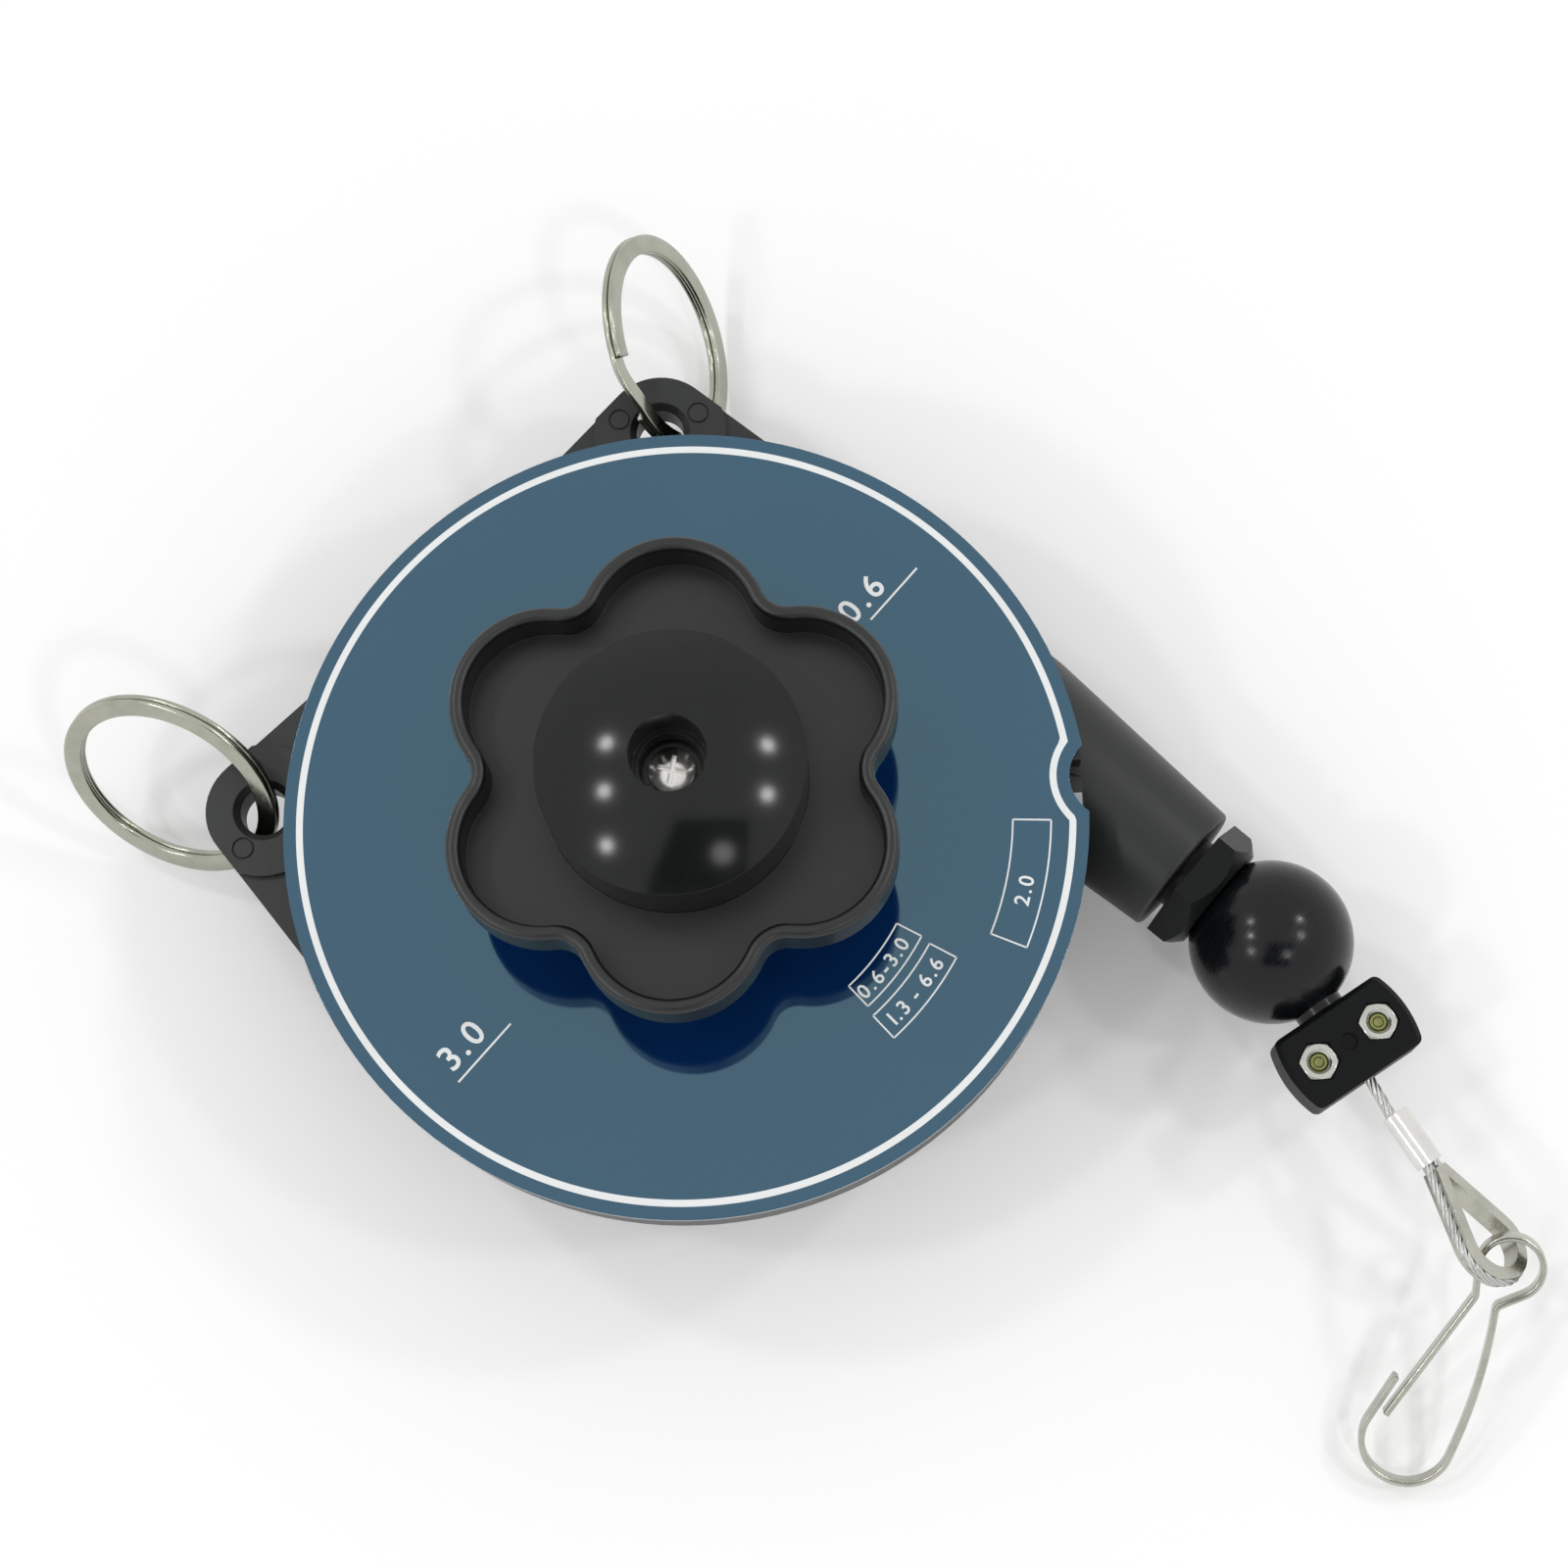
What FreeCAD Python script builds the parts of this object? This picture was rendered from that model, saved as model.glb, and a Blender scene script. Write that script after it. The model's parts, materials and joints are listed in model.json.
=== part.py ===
import FreeCAD, Part
import os
import re
from math import asin, atan2, cos, degrees, hypot, pi, radians, sin, sqrt, tan

# Hanging spring balancer, in millimetres.
# The case lies on its back: +Z runs along the drum shaft towards the knob, the cable leaves along -Y,
# and the origin is on the shaft axis at the back face.

V = FreeCAD.Vector
UP = V(0, 0, 1)
os.makedirs("parts", exist_ok=True)
doc = FreeCAD.newDocument("tool_balancer")
sheet = doc.addObject("Spreadsheet::Sheet", "Sizes")

# Driving dimensions
SIZES = {
    # case
    "case_depth": 44.0,
    "plate_radius": 70.0,
    "plate_thickness": 1.5,
    "plate_overhang": 0.4,
    "cover_skirt": 10.5,
    "cover_wall": 3.0,
    "cover_floor": 3.4,
    "cover_boss_radius": 17.0,
    "cover_boss_rise": 6.0,
    "inner_boss_radius": 11.0,
    "inner_boss_drop": 2.5,
    "housing_radius": 67.0,
    "housing_draft": 2.5,
    "housing_round": 5.0,
    "housing_floor": 3.0,
    "cavity_radius": 62.0,
    "cavity_round": 6.0,
    "spigot_height": 3.5,
    "rear_boss_radius": 10.5,
    "rear_boss_height": 4.2,
    "pillar_circle": 61.2,
    "pillar_radius": 3.6,
    "pillar_angle": 15.0,
    "pillar_count": 4,
    "housing_screw_radius": 1.7,
    "housing_screw_head_radius": 3.0,
    "housing_screw_head_height": 2.2,
    "housing_screw_sink": 3.0,
    # fits
    "fit": 0.05,
    "clearance": 0.3,
    # suspension lugs
    "lug_reach": 77.0,
    "top_lug_angle": 45.6,
    "safety_lug_angle": 126.9,
    "lug_eye_radius": 10.5,
    "lug_boss_radius": 12.2,
    "lug_hole_radius": 4.4,
    "lug_hole_chamfer": 1.2,
    "lug_thickness": 8.0,
    "lug_web_thickness": 5.6,
    "lug_mark_offset": 3.2,
    "lug_mark_spread": 5.2,
    "lug_mark_radius": 2.0,
    "lug_mark_depth": 0.3,
    # split rings
    "ring_outer_radius": 20.8,
    "ring_band": 3.5,
    "ring_wrap": 1.15,
    "ring_wrap_gap": 0.12,
    "ring_slit": 0.7,
    "top_ring_turn": 140.0,
    "safety_ring_turn": -150.0,
    "top_ring_out": 0.6,
    "top_ring_side": -0.7,
    "safety_ring_out": -0.2,
    "safety_ring_side": 0.8,
    # cable and its line
    "cable_line": 53.0,
    "cable_height": 24.0,
    "cable_radius": 1.0,
    "nozzle_start": 6.0,
    "nozzle_knee": 30.0,
    "nozzle_end": 70.2,
    "nozzle_root_radius": 15.0,
    "nozzle_tip_radius": 12.35,
    "nozzle_tip_round": 0.9,
    "nozzle_bore_radius": 9.0,
    "nozzle_thread_radius": 7.0,
    "nozzle_thread_length": 12.0,
    "bush_gap": 1.7,
    "bush_corner_radius": 12.3,
    "bush_flat_length": 3.7,
    "bush_nose_length": 2.5,
    "bush_nose_radius": 9.8,
    "bush_bore_radius": 2.2,
    "bush_spigot_length": 10.0,
    # ball and clamp, measured along the cable end from the ball's centre
    "ball_distance": 90.1,
    "ball_radius": 14.5,
    "ball_neck_radius": 4.5,
    "end_angle": 15.5,
    "clamp_gap": 0.7,
    "clamp_length": 14.2,
    "clamp_width": 21.6,
    "clamp_bulge": 1.3,
    "clamp_thickness": 9.6,
    "clamp_corner": 1.5,
    "clamp_bevel": 0.9,
    "clamp_bolt_spacing": 12.7,
    "clamp_bolt_radius": 1.7,
    "clamp_head_radius": 2.9,
    "clamp_head_height": 2.0,
    "clamp_nut_flats": 6.3,
    "clamp_nut_height": 2.6,
    "clamp_bolt_recess": 0.7,
    "clamp_pocket_gap": 0.15,
    "clamp_dimple_radius": 1.5,
    "clamp_dimple_depth": 0.5,
    "leg_gap": 0.12,
    "neck_length": 7.4,
    "ferrule_length": 10.4,
    "ferrule_wall": 0.8,
    "thimble_reach": 17.0,
    "thimble_inner_radius": 4.9,
    "thimble_base": 0.8,
    "thimble_width": 3.5,
    "thimble_flange": 0.7,
    "thimble_lip": 1.3,
    "thimble_kink": 1.3,
    "thimble_tilt": 40.0,
    # snap hook
    "hook_wire_width": 3.0,
    "hook_wire_thickness": 1.1,
    "hook_eye_radius": 5.5,
    "hook_bend_radius": 7.8,
    "hook_length": 36.4,
    "hook_offset": 4.3,
    "hook_neck_length": 7.5,
    "hook_neck_offset": 0.4,
    "hook_shank_bow": 1.0,
    "hook_corner_radius": 1.4,
    "hook_tip_length": 9.2,
    "hook_tip_slope": 170.6,
    "gate_knee_length": 7.0,
    "gate_knee_offset": 3.6,
    "gate_length": 33.1,
    "gate_offset": 9.5,
    # drum
    "drum_turns": 7,
    "cable_pitch": 2.3,
    "drum_flange_radius": 56.5,
    "drum_flange_thickness": 1.5,
    "drum_web_thickness": 3.0,
    "drum_rim_thickness": 7.5,
    "drum_bush_wall": 2.5,
    "drum_cover_radius": 51.0,
    "drum_cover_thickness": 2.5,
    "drum_screw_circle": 48.2,
    "drum_screw_radius": 1.5,
    "drum_screw_head_radius": 2.7,
    "drum_screw_head_height": 1.7,
    "drum_screw_length": 9.0,
    "drum_screw_tip_gap": 0.5,
    "drum_screw_count": 3,
    "anchor_radius": 2.2,
    "anchor_length": 6.0,
    # power spring
    "spring_band": 14.5,
    "spring_strip": 0.7,
    "spring_turns": 11,
    "spring_hook": 3.2,
    # spindle and ratchet
    "rear_journal_radius": 5.0,
    "spindle_radius": 6.0,
    "front_journal_radius": 5.5,
    "rear_bush_wall": 2.0,
    "front_bush_wall": 2.5,
    "wheel_radius": 24.0,
    "wheel_tooth_depth": 2.5,
    "wheel_thickness": 3.8,
    "wheel_space": 1.6,
    "wheel_teeth": 24,
    "ring_groove_depth": 0.9,
    "retainer_width": 3.6,
    "retainer_thickness": 1.2,
    # release pawl
    "pawl_pivot_circle": 34.0,
    "pawl_pivot_angle": -60.0,
    "pawl_thickness": 3.2,
    "pawl_eye_radius": 5.2,
    "pawl_arm_width": 6.0,
    "pawl_pin_radius": 2.5,
    "pawl_tab_width": 3.6,
    "pawl_tab_inner": 56.5,
    "pawl_tab_outer": 69.0,
    "pawl_tab_angle": -47.2,
    "pawl_lift": 6.4,
    "pawl_slot_lead": 2.0,
    "pawl_tab_top": 2.2,
    "pawl_spring_wire": 0.4,
    "pawl_spring_turns": 2,
    "pawl_spring_leg": 7.0,
    "notch_angle": -44.0,
    "notch_depth": 3.0,
    "notch_half_chord": 6.1,
    "notch_slot_width": 10.4,
    # knob
    "knob_lift": 22.0,
    "knob_height": 10.0,
    "knob_web": 2.0,
    "knob_lobes": 6,
    "knob_lobe_circle": 24.4,
    "knob_lobe_radius": 16.0,
    "knob_valley_radius": 4.5,
    "knob_rim": 2.5,
    "knob_rim_round": 1.1,
    "knob_skirt_round": 1.0,
    "knob_first_lobe": 41.0,
    "knob_hub_radius": 14.0,
    "dome_radius": 22.25,
    "dome_side": 13.5,
    "dome_crown": 6.0,
    "dome_hole_radius": 6.4,
    "dome_step_radius": 5.3,
    "dome_step_depth": 5.5,
    "dome_hole_floor": 5.5,
    "knob_square": 8.0,
    "knob_screw_radius": 2.0,
    "knob_screw_head_radius": 3.9,
    "knob_screw_head_height": 1.7,
    "knob_screw_length": 15.0,
    "knob_washer_radius": 4.9,
    "knob_washer_thickness": 0.5,
}

# Levels and radii that follow from the driving dimensions
DERIVED = {
    "lug_mark_reach": "lug_reach + lug_mark_offset",
    "plate_back": "case_depth - plate_thickness",
    "cover_radius": "plate_radius - plate_overhang",
    "cover_ceiling": "plate_back - cover_floor",
    "cover_edge": "plate_back - cover_skirt",
    "cover_boss_top": "case_depth + cover_boss_rise",
    "inner_boss_edge": "cover_ceiling - inner_boss_drop",
    "housing_back_radius": "housing_radius - housing_draft",
    "spigot_radius": "cover_radius - cover_wall - fit",
    "spigot_top": "cover_edge + spigot_height",
    "rear_boss_top": "housing_floor + rear_boss_height",
    "rear_bush_radius": "rear_journal_radius + rear_bush_wall",
    "front_bush_radius": "front_journal_radius + front_bush_wall",
    "wind_start": "cable_height - (drum_turns - 1) * cable_pitch",
    "drum_back": "wind_start - cable_pitch / 2 - drum_flange_thickness",
    "drum_front": "cable_height + cable_pitch / 2 + drum_flange_thickness",
    "drum_floor": "drum_back + drum_web_thickness",
    "groove_radius": "cable_line - cable_radius",
    "drum_rim_inner": "groove_radius - drum_rim_thickness",
    "drum_bush_radius": "spindle_radius + drum_bush_wall",
    "drum_cover_front": "drum_front + drum_cover_thickness",
    "retainer_back": "drum_cover_front + clearance",
    "wheel_back": "retainer_back + retainer_thickness + wheel_space",
    "wheel_front": "wheel_back + wheel_thickness",
    "pawl_back": "wheel_back + (wheel_thickness - pawl_thickness) / 2",
    "pawl_front": "pawl_back + pawl_thickness",
    "knob_base": "case_depth + knob_lift",
    "knob_floor": "knob_base + knob_web",
    "knob_rim_top": "knob_base + knob_height",
    "dome_edge": "knob_floor + dome_side",
    "screw_seat": "knob_floor + dome_hole_floor",
    "spindle_end": "screw_seat - 3",
    "ring_inner_radius": "ring_outer_radius - ring_band",
    "leg_offset": "cable_radius + leg_gap",
}

for row, (alias, value) in enumerate(list(SIZES.items()) + list(DERIVED.items()), start=1):
    sheet.set("A%d" % row, alias)
    sheet.set("B%d" % row, str(value) if alias in SIZES else "=" + value)
    sheet.setAlias("B%d" % row, alias)
doc.recompute()


def number(formula):
    """Value of a formula of sheet names."""
    sheet.set("D1", "=" + formula)
    sheet.recompute()
    value = sheet.get("D1")
    sheet.clear("D1")
    return float(getattr(value, "Value", value))


class Numbers:
    """The sheet's values as plain numbers."""

    def __getattr__(self, alias):
        return float(sheet.get(alias))


size = Numbers()
parts = {}


def sheet_name(found):
    word = found.group()
    return "Sizes." + word if word in SIZES or word in DERIVED else word


def tied(formula):
    """Formula in which every sheet name points at the sheet."""
    return re.sub(r"[a-z]\w*", sheet_name, formula)


def bind(item, **formulas):
    """Ties properties of an object to the sheet."""
    for prop, formula in formulas.items():
        item.setExpression(prop.replace("__", "."), tied(formula))
    return item


def put(item, x="0", y="0", z="0"):
    """Ties an object's position to the sheet."""
    for axis, formula in (("x", x), ("y", y), ("z", z)):
        if formula != "0":
            item.setExpression("Placement.Base." + axis, tied(formula))
    return item


def keep(label, item):
    """Names an object as a sub-part."""
    item.Label = label
    parts[label] = item
    return item


def cylinder(name, radius, height, x="0", y="0", z="0"):
    item = doc.addObject("Part::Cylinder", name)
    return put(bind(item, Radius=radius, Height=height), x, y, z)


def cylinder_along_cable(name, radius, height, start, x="cable_line", z="cable_height"):
    """Cylinder on the cable line, from a distance start in front of the shaft axis."""
    item = doc.addObject("Part::Cylinder", name)
    item.Placement = FreeCAD.Placement(V(0, 0, 0), FreeCAD.Rotation(V(1, 0, 0), 90))
    return put(bind(item, Radius=radius, Height=height), x, "-(" + start + ")", z)


def fuse(name, *items):
    item = doc.addObject("Part::MultiFuse", name)
    item.Shapes = list(items)
    return item


def cut(name, base, *tools):
    tool = tools[0] if len(tools) == 1 else fuse(name + "_tools", *tools)
    item = doc.addObject("Part::Cut", name)
    item.Base = base
    item.Tool = tool
    return item


def made(name, shape):
    item = doc.addObject("Part::Feature", name)
    item.Shape = shape
    return item


def plane_of(body, role):
    return next(item for item in body.Origin.OriginFeatures if item.Role == role)


def turned(name, *corners):
    """Body turned about its own Z axis from a closed profile of (radius, height) formulas."""
    import Sketcher
    body = doc.addObject("PartDesign::Body", name)
    sketch = body.newObject("Sketcher::SketchObject", name + "_profile")
    sketch.AttachmentSupport = [(plane_of(body, "XZ_Plane"), "")]
    sketch.MapMode = "FlatFace"
    points = [(number(radius), number(height)) for radius, height in corners]
    count = len(points)
    for index in range(count):
        start, end = points[index], points[(index + 1) % count]
        sketch.addGeometry(Part.LineSegment(V(start[0], start[1], 0), V(end[0], end[1], 0)), False)
    for index in range(count):
        sketch.addConstraint(Sketcher.Constraint("Coincident", index, 2, (index + 1) % count, 1))
    for index, formulas in enumerate(corners):
        for kind, axis, which in (("DistanceX", -2, 0), ("DistanceY", -1, 1)):
            value = points[index][which]
            if abs(value) < 1e-9:
                sketch.addConstraint(Sketcher.Constraint("PointOnObject", index, 1, axis))
            else:
                place = sketch.addConstraint(Sketcher.Constraint(kind, -1, 1, index, 1, value))
                sketch.setExpression("Constraints[%d]" % place, tied(formulas[which]))
    turn = body.newObject("PartDesign::Revolution", name + "_turn")
    turn.Profile = sketch
    turn.ReferenceAxis = (sketch, ["V_Axis"])
    turn.Angle = 360
    body.Tip = turn
    return body


def rounded(body, radius, level, edge_radius):
    """Rounds the circular edge of a turned body at a height."""
    doc.recompute()
    base = body.Tip
    wanted = []
    for index, edge in enumerate(base.Shape.Edges, start=1):
        curve = edge.Curve
        if curve.TypeId == "Part::GeomCircle" and abs(curve.Center.z - number(level)) < 1e-6 \
                and abs(curve.Radius - number(edge_radius)) < 1e-6:
            wanted.append("Edge%d" % index)
    fillet = body.newObject("PartDesign::Fillet", body.Name + "_round")
    fillet.Base = (base, wanted)
    bind(fillet, Radius=radius)
    body.Tip = fillet
    return body


def polar(radius, angle):
    return V(radius * cos(radians(angle)), radius * sin(radians(angle)), 0)


def plate_from(edges, bottom, thickness):
    """Flat plate of a closed outline."""
    face = Part.Face(Part.Wire(Part.__sortEdges__(edges)))
    plate = face.extrude(V(0, 0, thickness))
    plate.translate(V(0, 0, bottom))
    return plate


def arc(start, middle, end):
    return Part.Arc(start, middle, end).toShape()


def line(start, end):
    return Part.LineSegment(start, end).toShape()


def ring_solid(outer, inner, bottom, height):
    return Part.makeCylinder(outer, height, V(0, 0, bottom)).cut(
        Part.makeCylinder(inner, height + 2, V(0, 0, bottom - 1)))


# Cable nozzle outline, which the housing and the cover are cut to


def nozzle_outside(name):
    root = cylinder_along_cable(name + "_root", "nozzle_root_radius", "nozzle_knee - nozzle_start",
                                "nozzle_start")
    taper = doc.addObject("Part::Cone", name + "_taper")
    taper.Placement = FreeCAD.Placement(V(0, 0, 0), FreeCAD.Rotation(V(1, 0, 0), 90))
    bind(taper, Radius1="nozzle_root_radius", Radius2="nozzle_tip_radius",
         Height="nozzle_end - nozzle_knee")
    put(taper, "cable_line", "-nozzle_knee", "cable_height")
    return fuse(name, root, taper)


def rounded_copy(name, base, edges, radius):
    """Primitive or boolean with some of its edges rounded."""
    item = doc.addObject("Part::Fillet", name)
    item.Base = base
    item.Edges = [(index, radius, radius) for index in edges]
    return item


def pillar_places():
    """Formulas of the places of the case screws."""
    count = int(size.pillar_count)
    for index in range(count):
        angle = "(pillar_angle + 360 * %d / pillar_count)" % index
        yield index, "pillar_circle * cos(%s)" % angle, "pillar_circle * sin(%s)" % angle


# Rear housing: cup, lugs, shaft boss and screw pillars


def lug_angles():
    return {"top": size.top_lug_angle, "safety": size.safety_lug_angle}


def lug_centre(angle):
    return polar(size.lug_reach, angle)


def lug_blank(angle):
    """Web tangent to the case and to the eye, with a thicker boss round the eye."""
    eye = lug_centre(angle)
    spread = degrees(asin((size.housing_radius - size.lug_eye_radius) / size.lug_reach))
    normals = (angle - 90 + spread, angle + 90 - spread)
    case_points = [polar(size.housing_radius, normal) for normal in normals]
    eye_points = [eye + polar(size.lug_eye_radius, normal) for normal in normals]
    eye_tip = eye + polar(size.lug_eye_radius, angle)
    outline = [line(case_points[0], eye_points[0]), arc(eye_points[0], eye_tip, eye_points[1]),
               line(eye_points[1], case_points[1]), line(case_points[1], V(0, 0, 0)),
               line(V(0, 0, 0), case_points[0])]
    middle = size.cable_height
    web = plate_from(outline, middle - size.lug_web_thickness / 2, size.lug_web_thickness)
    thick = plate_from(outline, middle - size.lug_thickness / 2, size.lug_thickness)
    boss = Part.makeCylinder(size.lug_boss_radius, 4 * size.lug_thickness,
                             eye - UP * 2 * size.lug_thickness + UP * middle)
    blank = web.fuse(thick.common(boss)).removeSplitter()
    inside = Part.makeCylinder((size.cavity_radius + size.housing_radius) / 2, size.case_depth)
    return blank.cut(inside)


def lug_hole(angle):
    """Hole through a lug with a chamfer at both faces."""
    centre = lug_centre(angle)
    half = size.lug_thickness / 2
    wide = size.lug_hole_radius + size.lug_hole_chamfer
    middle = centre + UP * size.cable_height
    hole = Part.makeCylinder(size.lug_hole_radius, size.case_depth, centre)
    top = Part.makeCone(size.lug_hole_radius, wide, size.lug_hole_chamfer,
                        middle + UP * (half - size.lug_hole_chamfer))
    bottom = Part.makeCone(wide, size.lug_hole_radius, size.lug_hole_chamfer, middle - UP * half)
    return hole.fuse([top, bottom] + lug_marks(angle))


def lug_marks(angle):
    """Fine circles that the mould's pins leave on the face of a lug."""
    bottom = size.cable_height + size.lug_thickness / 2 - size.lug_mark_depth
    marks = []
    for side in (-1, 1):
        mark = ring_solid(size.lug_mark_radius, size.lug_mark_radius - size.lug_mark_depth, bottom, 1)
        mark.translate(polar(size.lug_mark_reach, angle + side * size.lug_mark_spread))
        marks.append(mark)
    return marks


def make_rear_housing():
    cup = turned("housing_cup", ("0", "0"), ("housing_back_radius", "0"), ("housing_radius", "cover_edge"),
                 ("spigot_radius", "cover_edge"), ("spigot_radius", "spigot_top"),
                 ("cavity_radius", "spigot_top"), ("cavity_radius", "housing_floor + cavity_round"),
                 ("cavity_radius - cavity_round", "housing_floor"), ("rear_boss_radius", "housing_floor"),
                 ("rear_boss_radius", "rear_boss_top"), ("rear_bush_radius", "rear_boss_top"),
                 ("rear_bush_radius", "housing_floor - 1"), ("0", "housing_floor - 1"))
    rounded(cup, "housing_round", "0", "housing_back_radius")
    pillars = [cylinder("rear_pillar_%d" % index, "pillar_radius", "spigot_top - housing_floor + 1",
                        x, y, "housing_floor - 1") for index, x, y in pillar_places()]
    lugs = [made("lug_blank_" + name, lug_blank(angle)) for name, angle in lug_angles().items()]
    holes = [made("lug_hole_" + name, lug_hole(angle)) for name, angle in lug_angles().items()]
    for index, x, y in pillar_places():
        holes.append(cylinder("rear_screw_hole_%d" % index, "housing_screw_radius + clearance",
                              "case_depth", x, y, "-1"))
        holes.append(cylinder("rear_screw_sink_%d" % index, "housing_screw_head_radius + clearance",
                              "housing_screw_sink + housing_screw_head_height + 1", x, y, "-1"))
    solid = fuse("housing_solid", cup, *lugs, *pillars)
    keep("rear_housing", cut("rear_housing", solid, nozzle_outside("housing_nozzle_seat"), *holes))


# Front cover with the shaft boss and the slot of the release tab


def notch_slot(name, inner, bottom):
    """Slot along the notch direction, from a radius outwards."""
    item = doc.addObject("Part::Box", name)
    turn = FreeCAD.Rotation(UP, size.pawl_tab_angle + size.pawl_slot_lead)
    half = turn.multVec(V(number(inner), -size.notch_slot_width / 2, number(bottom)))
    item.Placement = FreeCAD.Placement(half, turn)
    bind(item, Length="plate_radius + 2 - (" + inner + ")", Width="notch_slot_width",
         Height="plate_back + 1 - (" + bottom + ")")
    return item


def make_front_cover():
    shell = turned("cover_shell", ("front_bush_radius", "inner_boss_edge"),
                   ("inner_boss_radius", "inner_boss_edge"), ("inner_boss_radius", "cover_ceiling"),
                   ("cover_radius - cover_wall", "cover_ceiling"), ("cover_radius - cover_wall", "cover_edge"),
                   ("cover_radius", "cover_edge"), ("cover_radius", "plate_back"),
                   ("cover_boss_radius", "plate_back"), ("cover_boss_radius", "cover_boss_top"),
                   ("front_bush_radius", "cover_boss_top"))
    pillars = [cylinder("cover_pillar_%d" % index, "pillar_radius", "cover_ceiling - spigot_top + 1",
                        x, y, "spigot_top") for index, x, y in pillar_places()]
    holes = [cylinder("cover_screw_hole_%d" % index, "housing_screw_radius", "plate_back - 1.5 - spigot_top",
                      x, y, "spigot_top") for index, x, y in pillar_places()]
    holes.append(cylinder("pawl_pin_hole", "pawl_pin_radius", "cover_floor - 1.2",
                          "pawl_pivot_circle * cos(pawl_pivot_angle)",
                          "pawl_pivot_circle * sin(pawl_pivot_angle)", "cover_ceiling"))
    holes.append(notch_slot("release_slot", "pawl_tab_inner - 1.5", "cover_ceiling - 1.3"))
    solid = fuse("cover_solid", shell, *pillars)
    keep("front_cover", cut("front_cover", solid, nozzle_outside("cover_nozzle_seat"), *holes))


def make_face_plate():
    disc = turned("plate_disc", ("cover_boss_radius + clearance", "plate_back"), ("plate_radius", "plate_back"),
                  ("plate_radius", "case_depth"), ("cover_boss_radius + clearance", "case_depth"))
    reach = "(notch_half_chord ^ 2 / notch_depth + notch_depth) / 2"
    notch = cylinder("plate_notch", reach, "2 * plate_thickness",
                     "(plate_radius - notch_depth + %s) * cos(notch_angle)" % reach,
                     "(plate_radius - notch_depth + %s) * sin(notch_angle)" % reach,
                     "plate_back - plate_thickness / 2")
    keep("face_plate", cut("face_plate", disc, notch))


def make_cable_nozzle():
    outside = nozzle_outside("nozzle_body")
    doc.recompute()
    rim = [index for index, edge in enumerate(outside.Shape.Edges, start=1)
           if edge.BoundBox.YMax < -size.nozzle_end + 0.01 and edge.BoundBox.ZLength > size.nozzle_tip_radius]
    outside = rounded_copy("nozzle_rounded", outside, rim, size.nozzle_tip_round)
    cavity = cylinder("nozzle_cavity", "cavity_radius", "case_depth")
    bore = cylinder_along_cable("nozzle_bore", "nozzle_bore_radius",
                                "nozzle_end - nozzle_thread_length - nozzle_start + 1", "nozzle_start - 1")
    thread = cylinder_along_cable("nozzle_thread", "nozzle_thread_radius", "nozzle_end", "nozzle_knee")
    keep("cable_nozzle", cut("cable_nozzle", outside, cavity, bore, thread))


def make_outlet_bush():
    """Hexagonal bush with a tapered nose, a flared bore and a seat for the ball."""
    bore = "bush_bore_radius"
    flat = "bush_spigot_length + bush_flat_length"
    nose = flat + " + bush_nose_length"
    blank = turned("bush_blank", (bore + " + 1.5", "0"), ("nozzle_thread_radius", "0"),
                   ("nozzle_thread_radius", "bush_spigot_length"),
                   ("bush_corner_radius", "bush_spigot_length"), ("bush_corner_radius", flat),
                   ("bush_nose_radius", nose), (bore + " + 1", nose), (bore, nose + " - 3"), (bore, "2"))
    doc.recompute()
    shape = blank.Shape.copy()
    prism = Part.Face(Part.makePolygon([polar(size.bush_corner_radius, 60 * corner) for corner in range(7)]))
    hexagon = prism.extrude(V(0, 0, number(nose) - size.bush_spigot_length))
    hexagon.translate(V(0, 0, size.bush_spigot_length))
    stem = Part.makeCylinder(size.nozzle_thread_radius, size.bush_spigot_length)
    shape = shape.common(hexagon.fuse(stem))
    start = size.nozzle_end + size.bush_gap - size.bush_spigot_length
    seat = Part.makeSphere(size.ball_radius + size.clearance, V(0, 0, size.ball_distance - start))
    shape = shape.cut(seat)
    item = made("outlet_bush", shape)
    item.Placement = FreeCAD.Placement(V(size.cable_line, -start, size.cable_height),
                                       FreeCAD.Rotation(V(1, 0, 0), 90))
    keep("outlet_bush", item)
    blank.Label = "outlet_bush_blank"


def make_housing_screws():
    screws = []
    for index, x, y in pillar_places():
        screws.append(cylinder("case_screw_head_%d" % index, "housing_screw_head_radius",
                               "housing_screw_head_height", x, y, "housing_screw_sink"))
        screws.append(cylinder("case_screw_shank_%d" % index, "housing_screw_radius",
                               "plate_back - 2.5 - housing_screw_sink", x, y, "housing_screw_sink"))
    keep("housing_screws", fuse("housing_screws", *screws))


def make_bushes():
    keep("rear_bush", turned("rear_bush", ("rear_journal_radius + fit", "housing_floor - 1"),
                             ("rear_bush_radius", "housing_floor - 1"), ("rear_bush_radius", "rear_boss_top"),
                             ("rear_journal_radius + fit", "rear_boss_top")))
    keep("front_bush", turned("front_bush", ("front_journal_radius + fit", "inner_boss_edge"),
                              ("front_bush_radius", "inner_boss_edge"),
                              ("front_bush_radius", "cover_boss_top"),
                              ("front_journal_radius + fit", "cover_boss_top")))


# Drum with its winding


def groove_line():
    """Zigzag of the cable grooves from the back flange to the front flange."""
    points = []
    for turn in range(int(size.drum_turns)):
        level = size.wind_start + turn * size.cable_pitch
        points.append(V(size.groove_radius, 0, level - size.cable_radius / 2))
        points.append(V(size.groove_radius, 0, level + size.cable_radius / 2))
        if turn < size.drum_turns - 1:
            points.append(V(size.cable_line, 0, level + size.cable_pitch / 2))
    return points


def revolve_points(points):
    face = Part.Face(Part.makePolygon(points + [points[0]]))
    return face.revolve(V(0, 0, 0), UP, 360)


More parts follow.
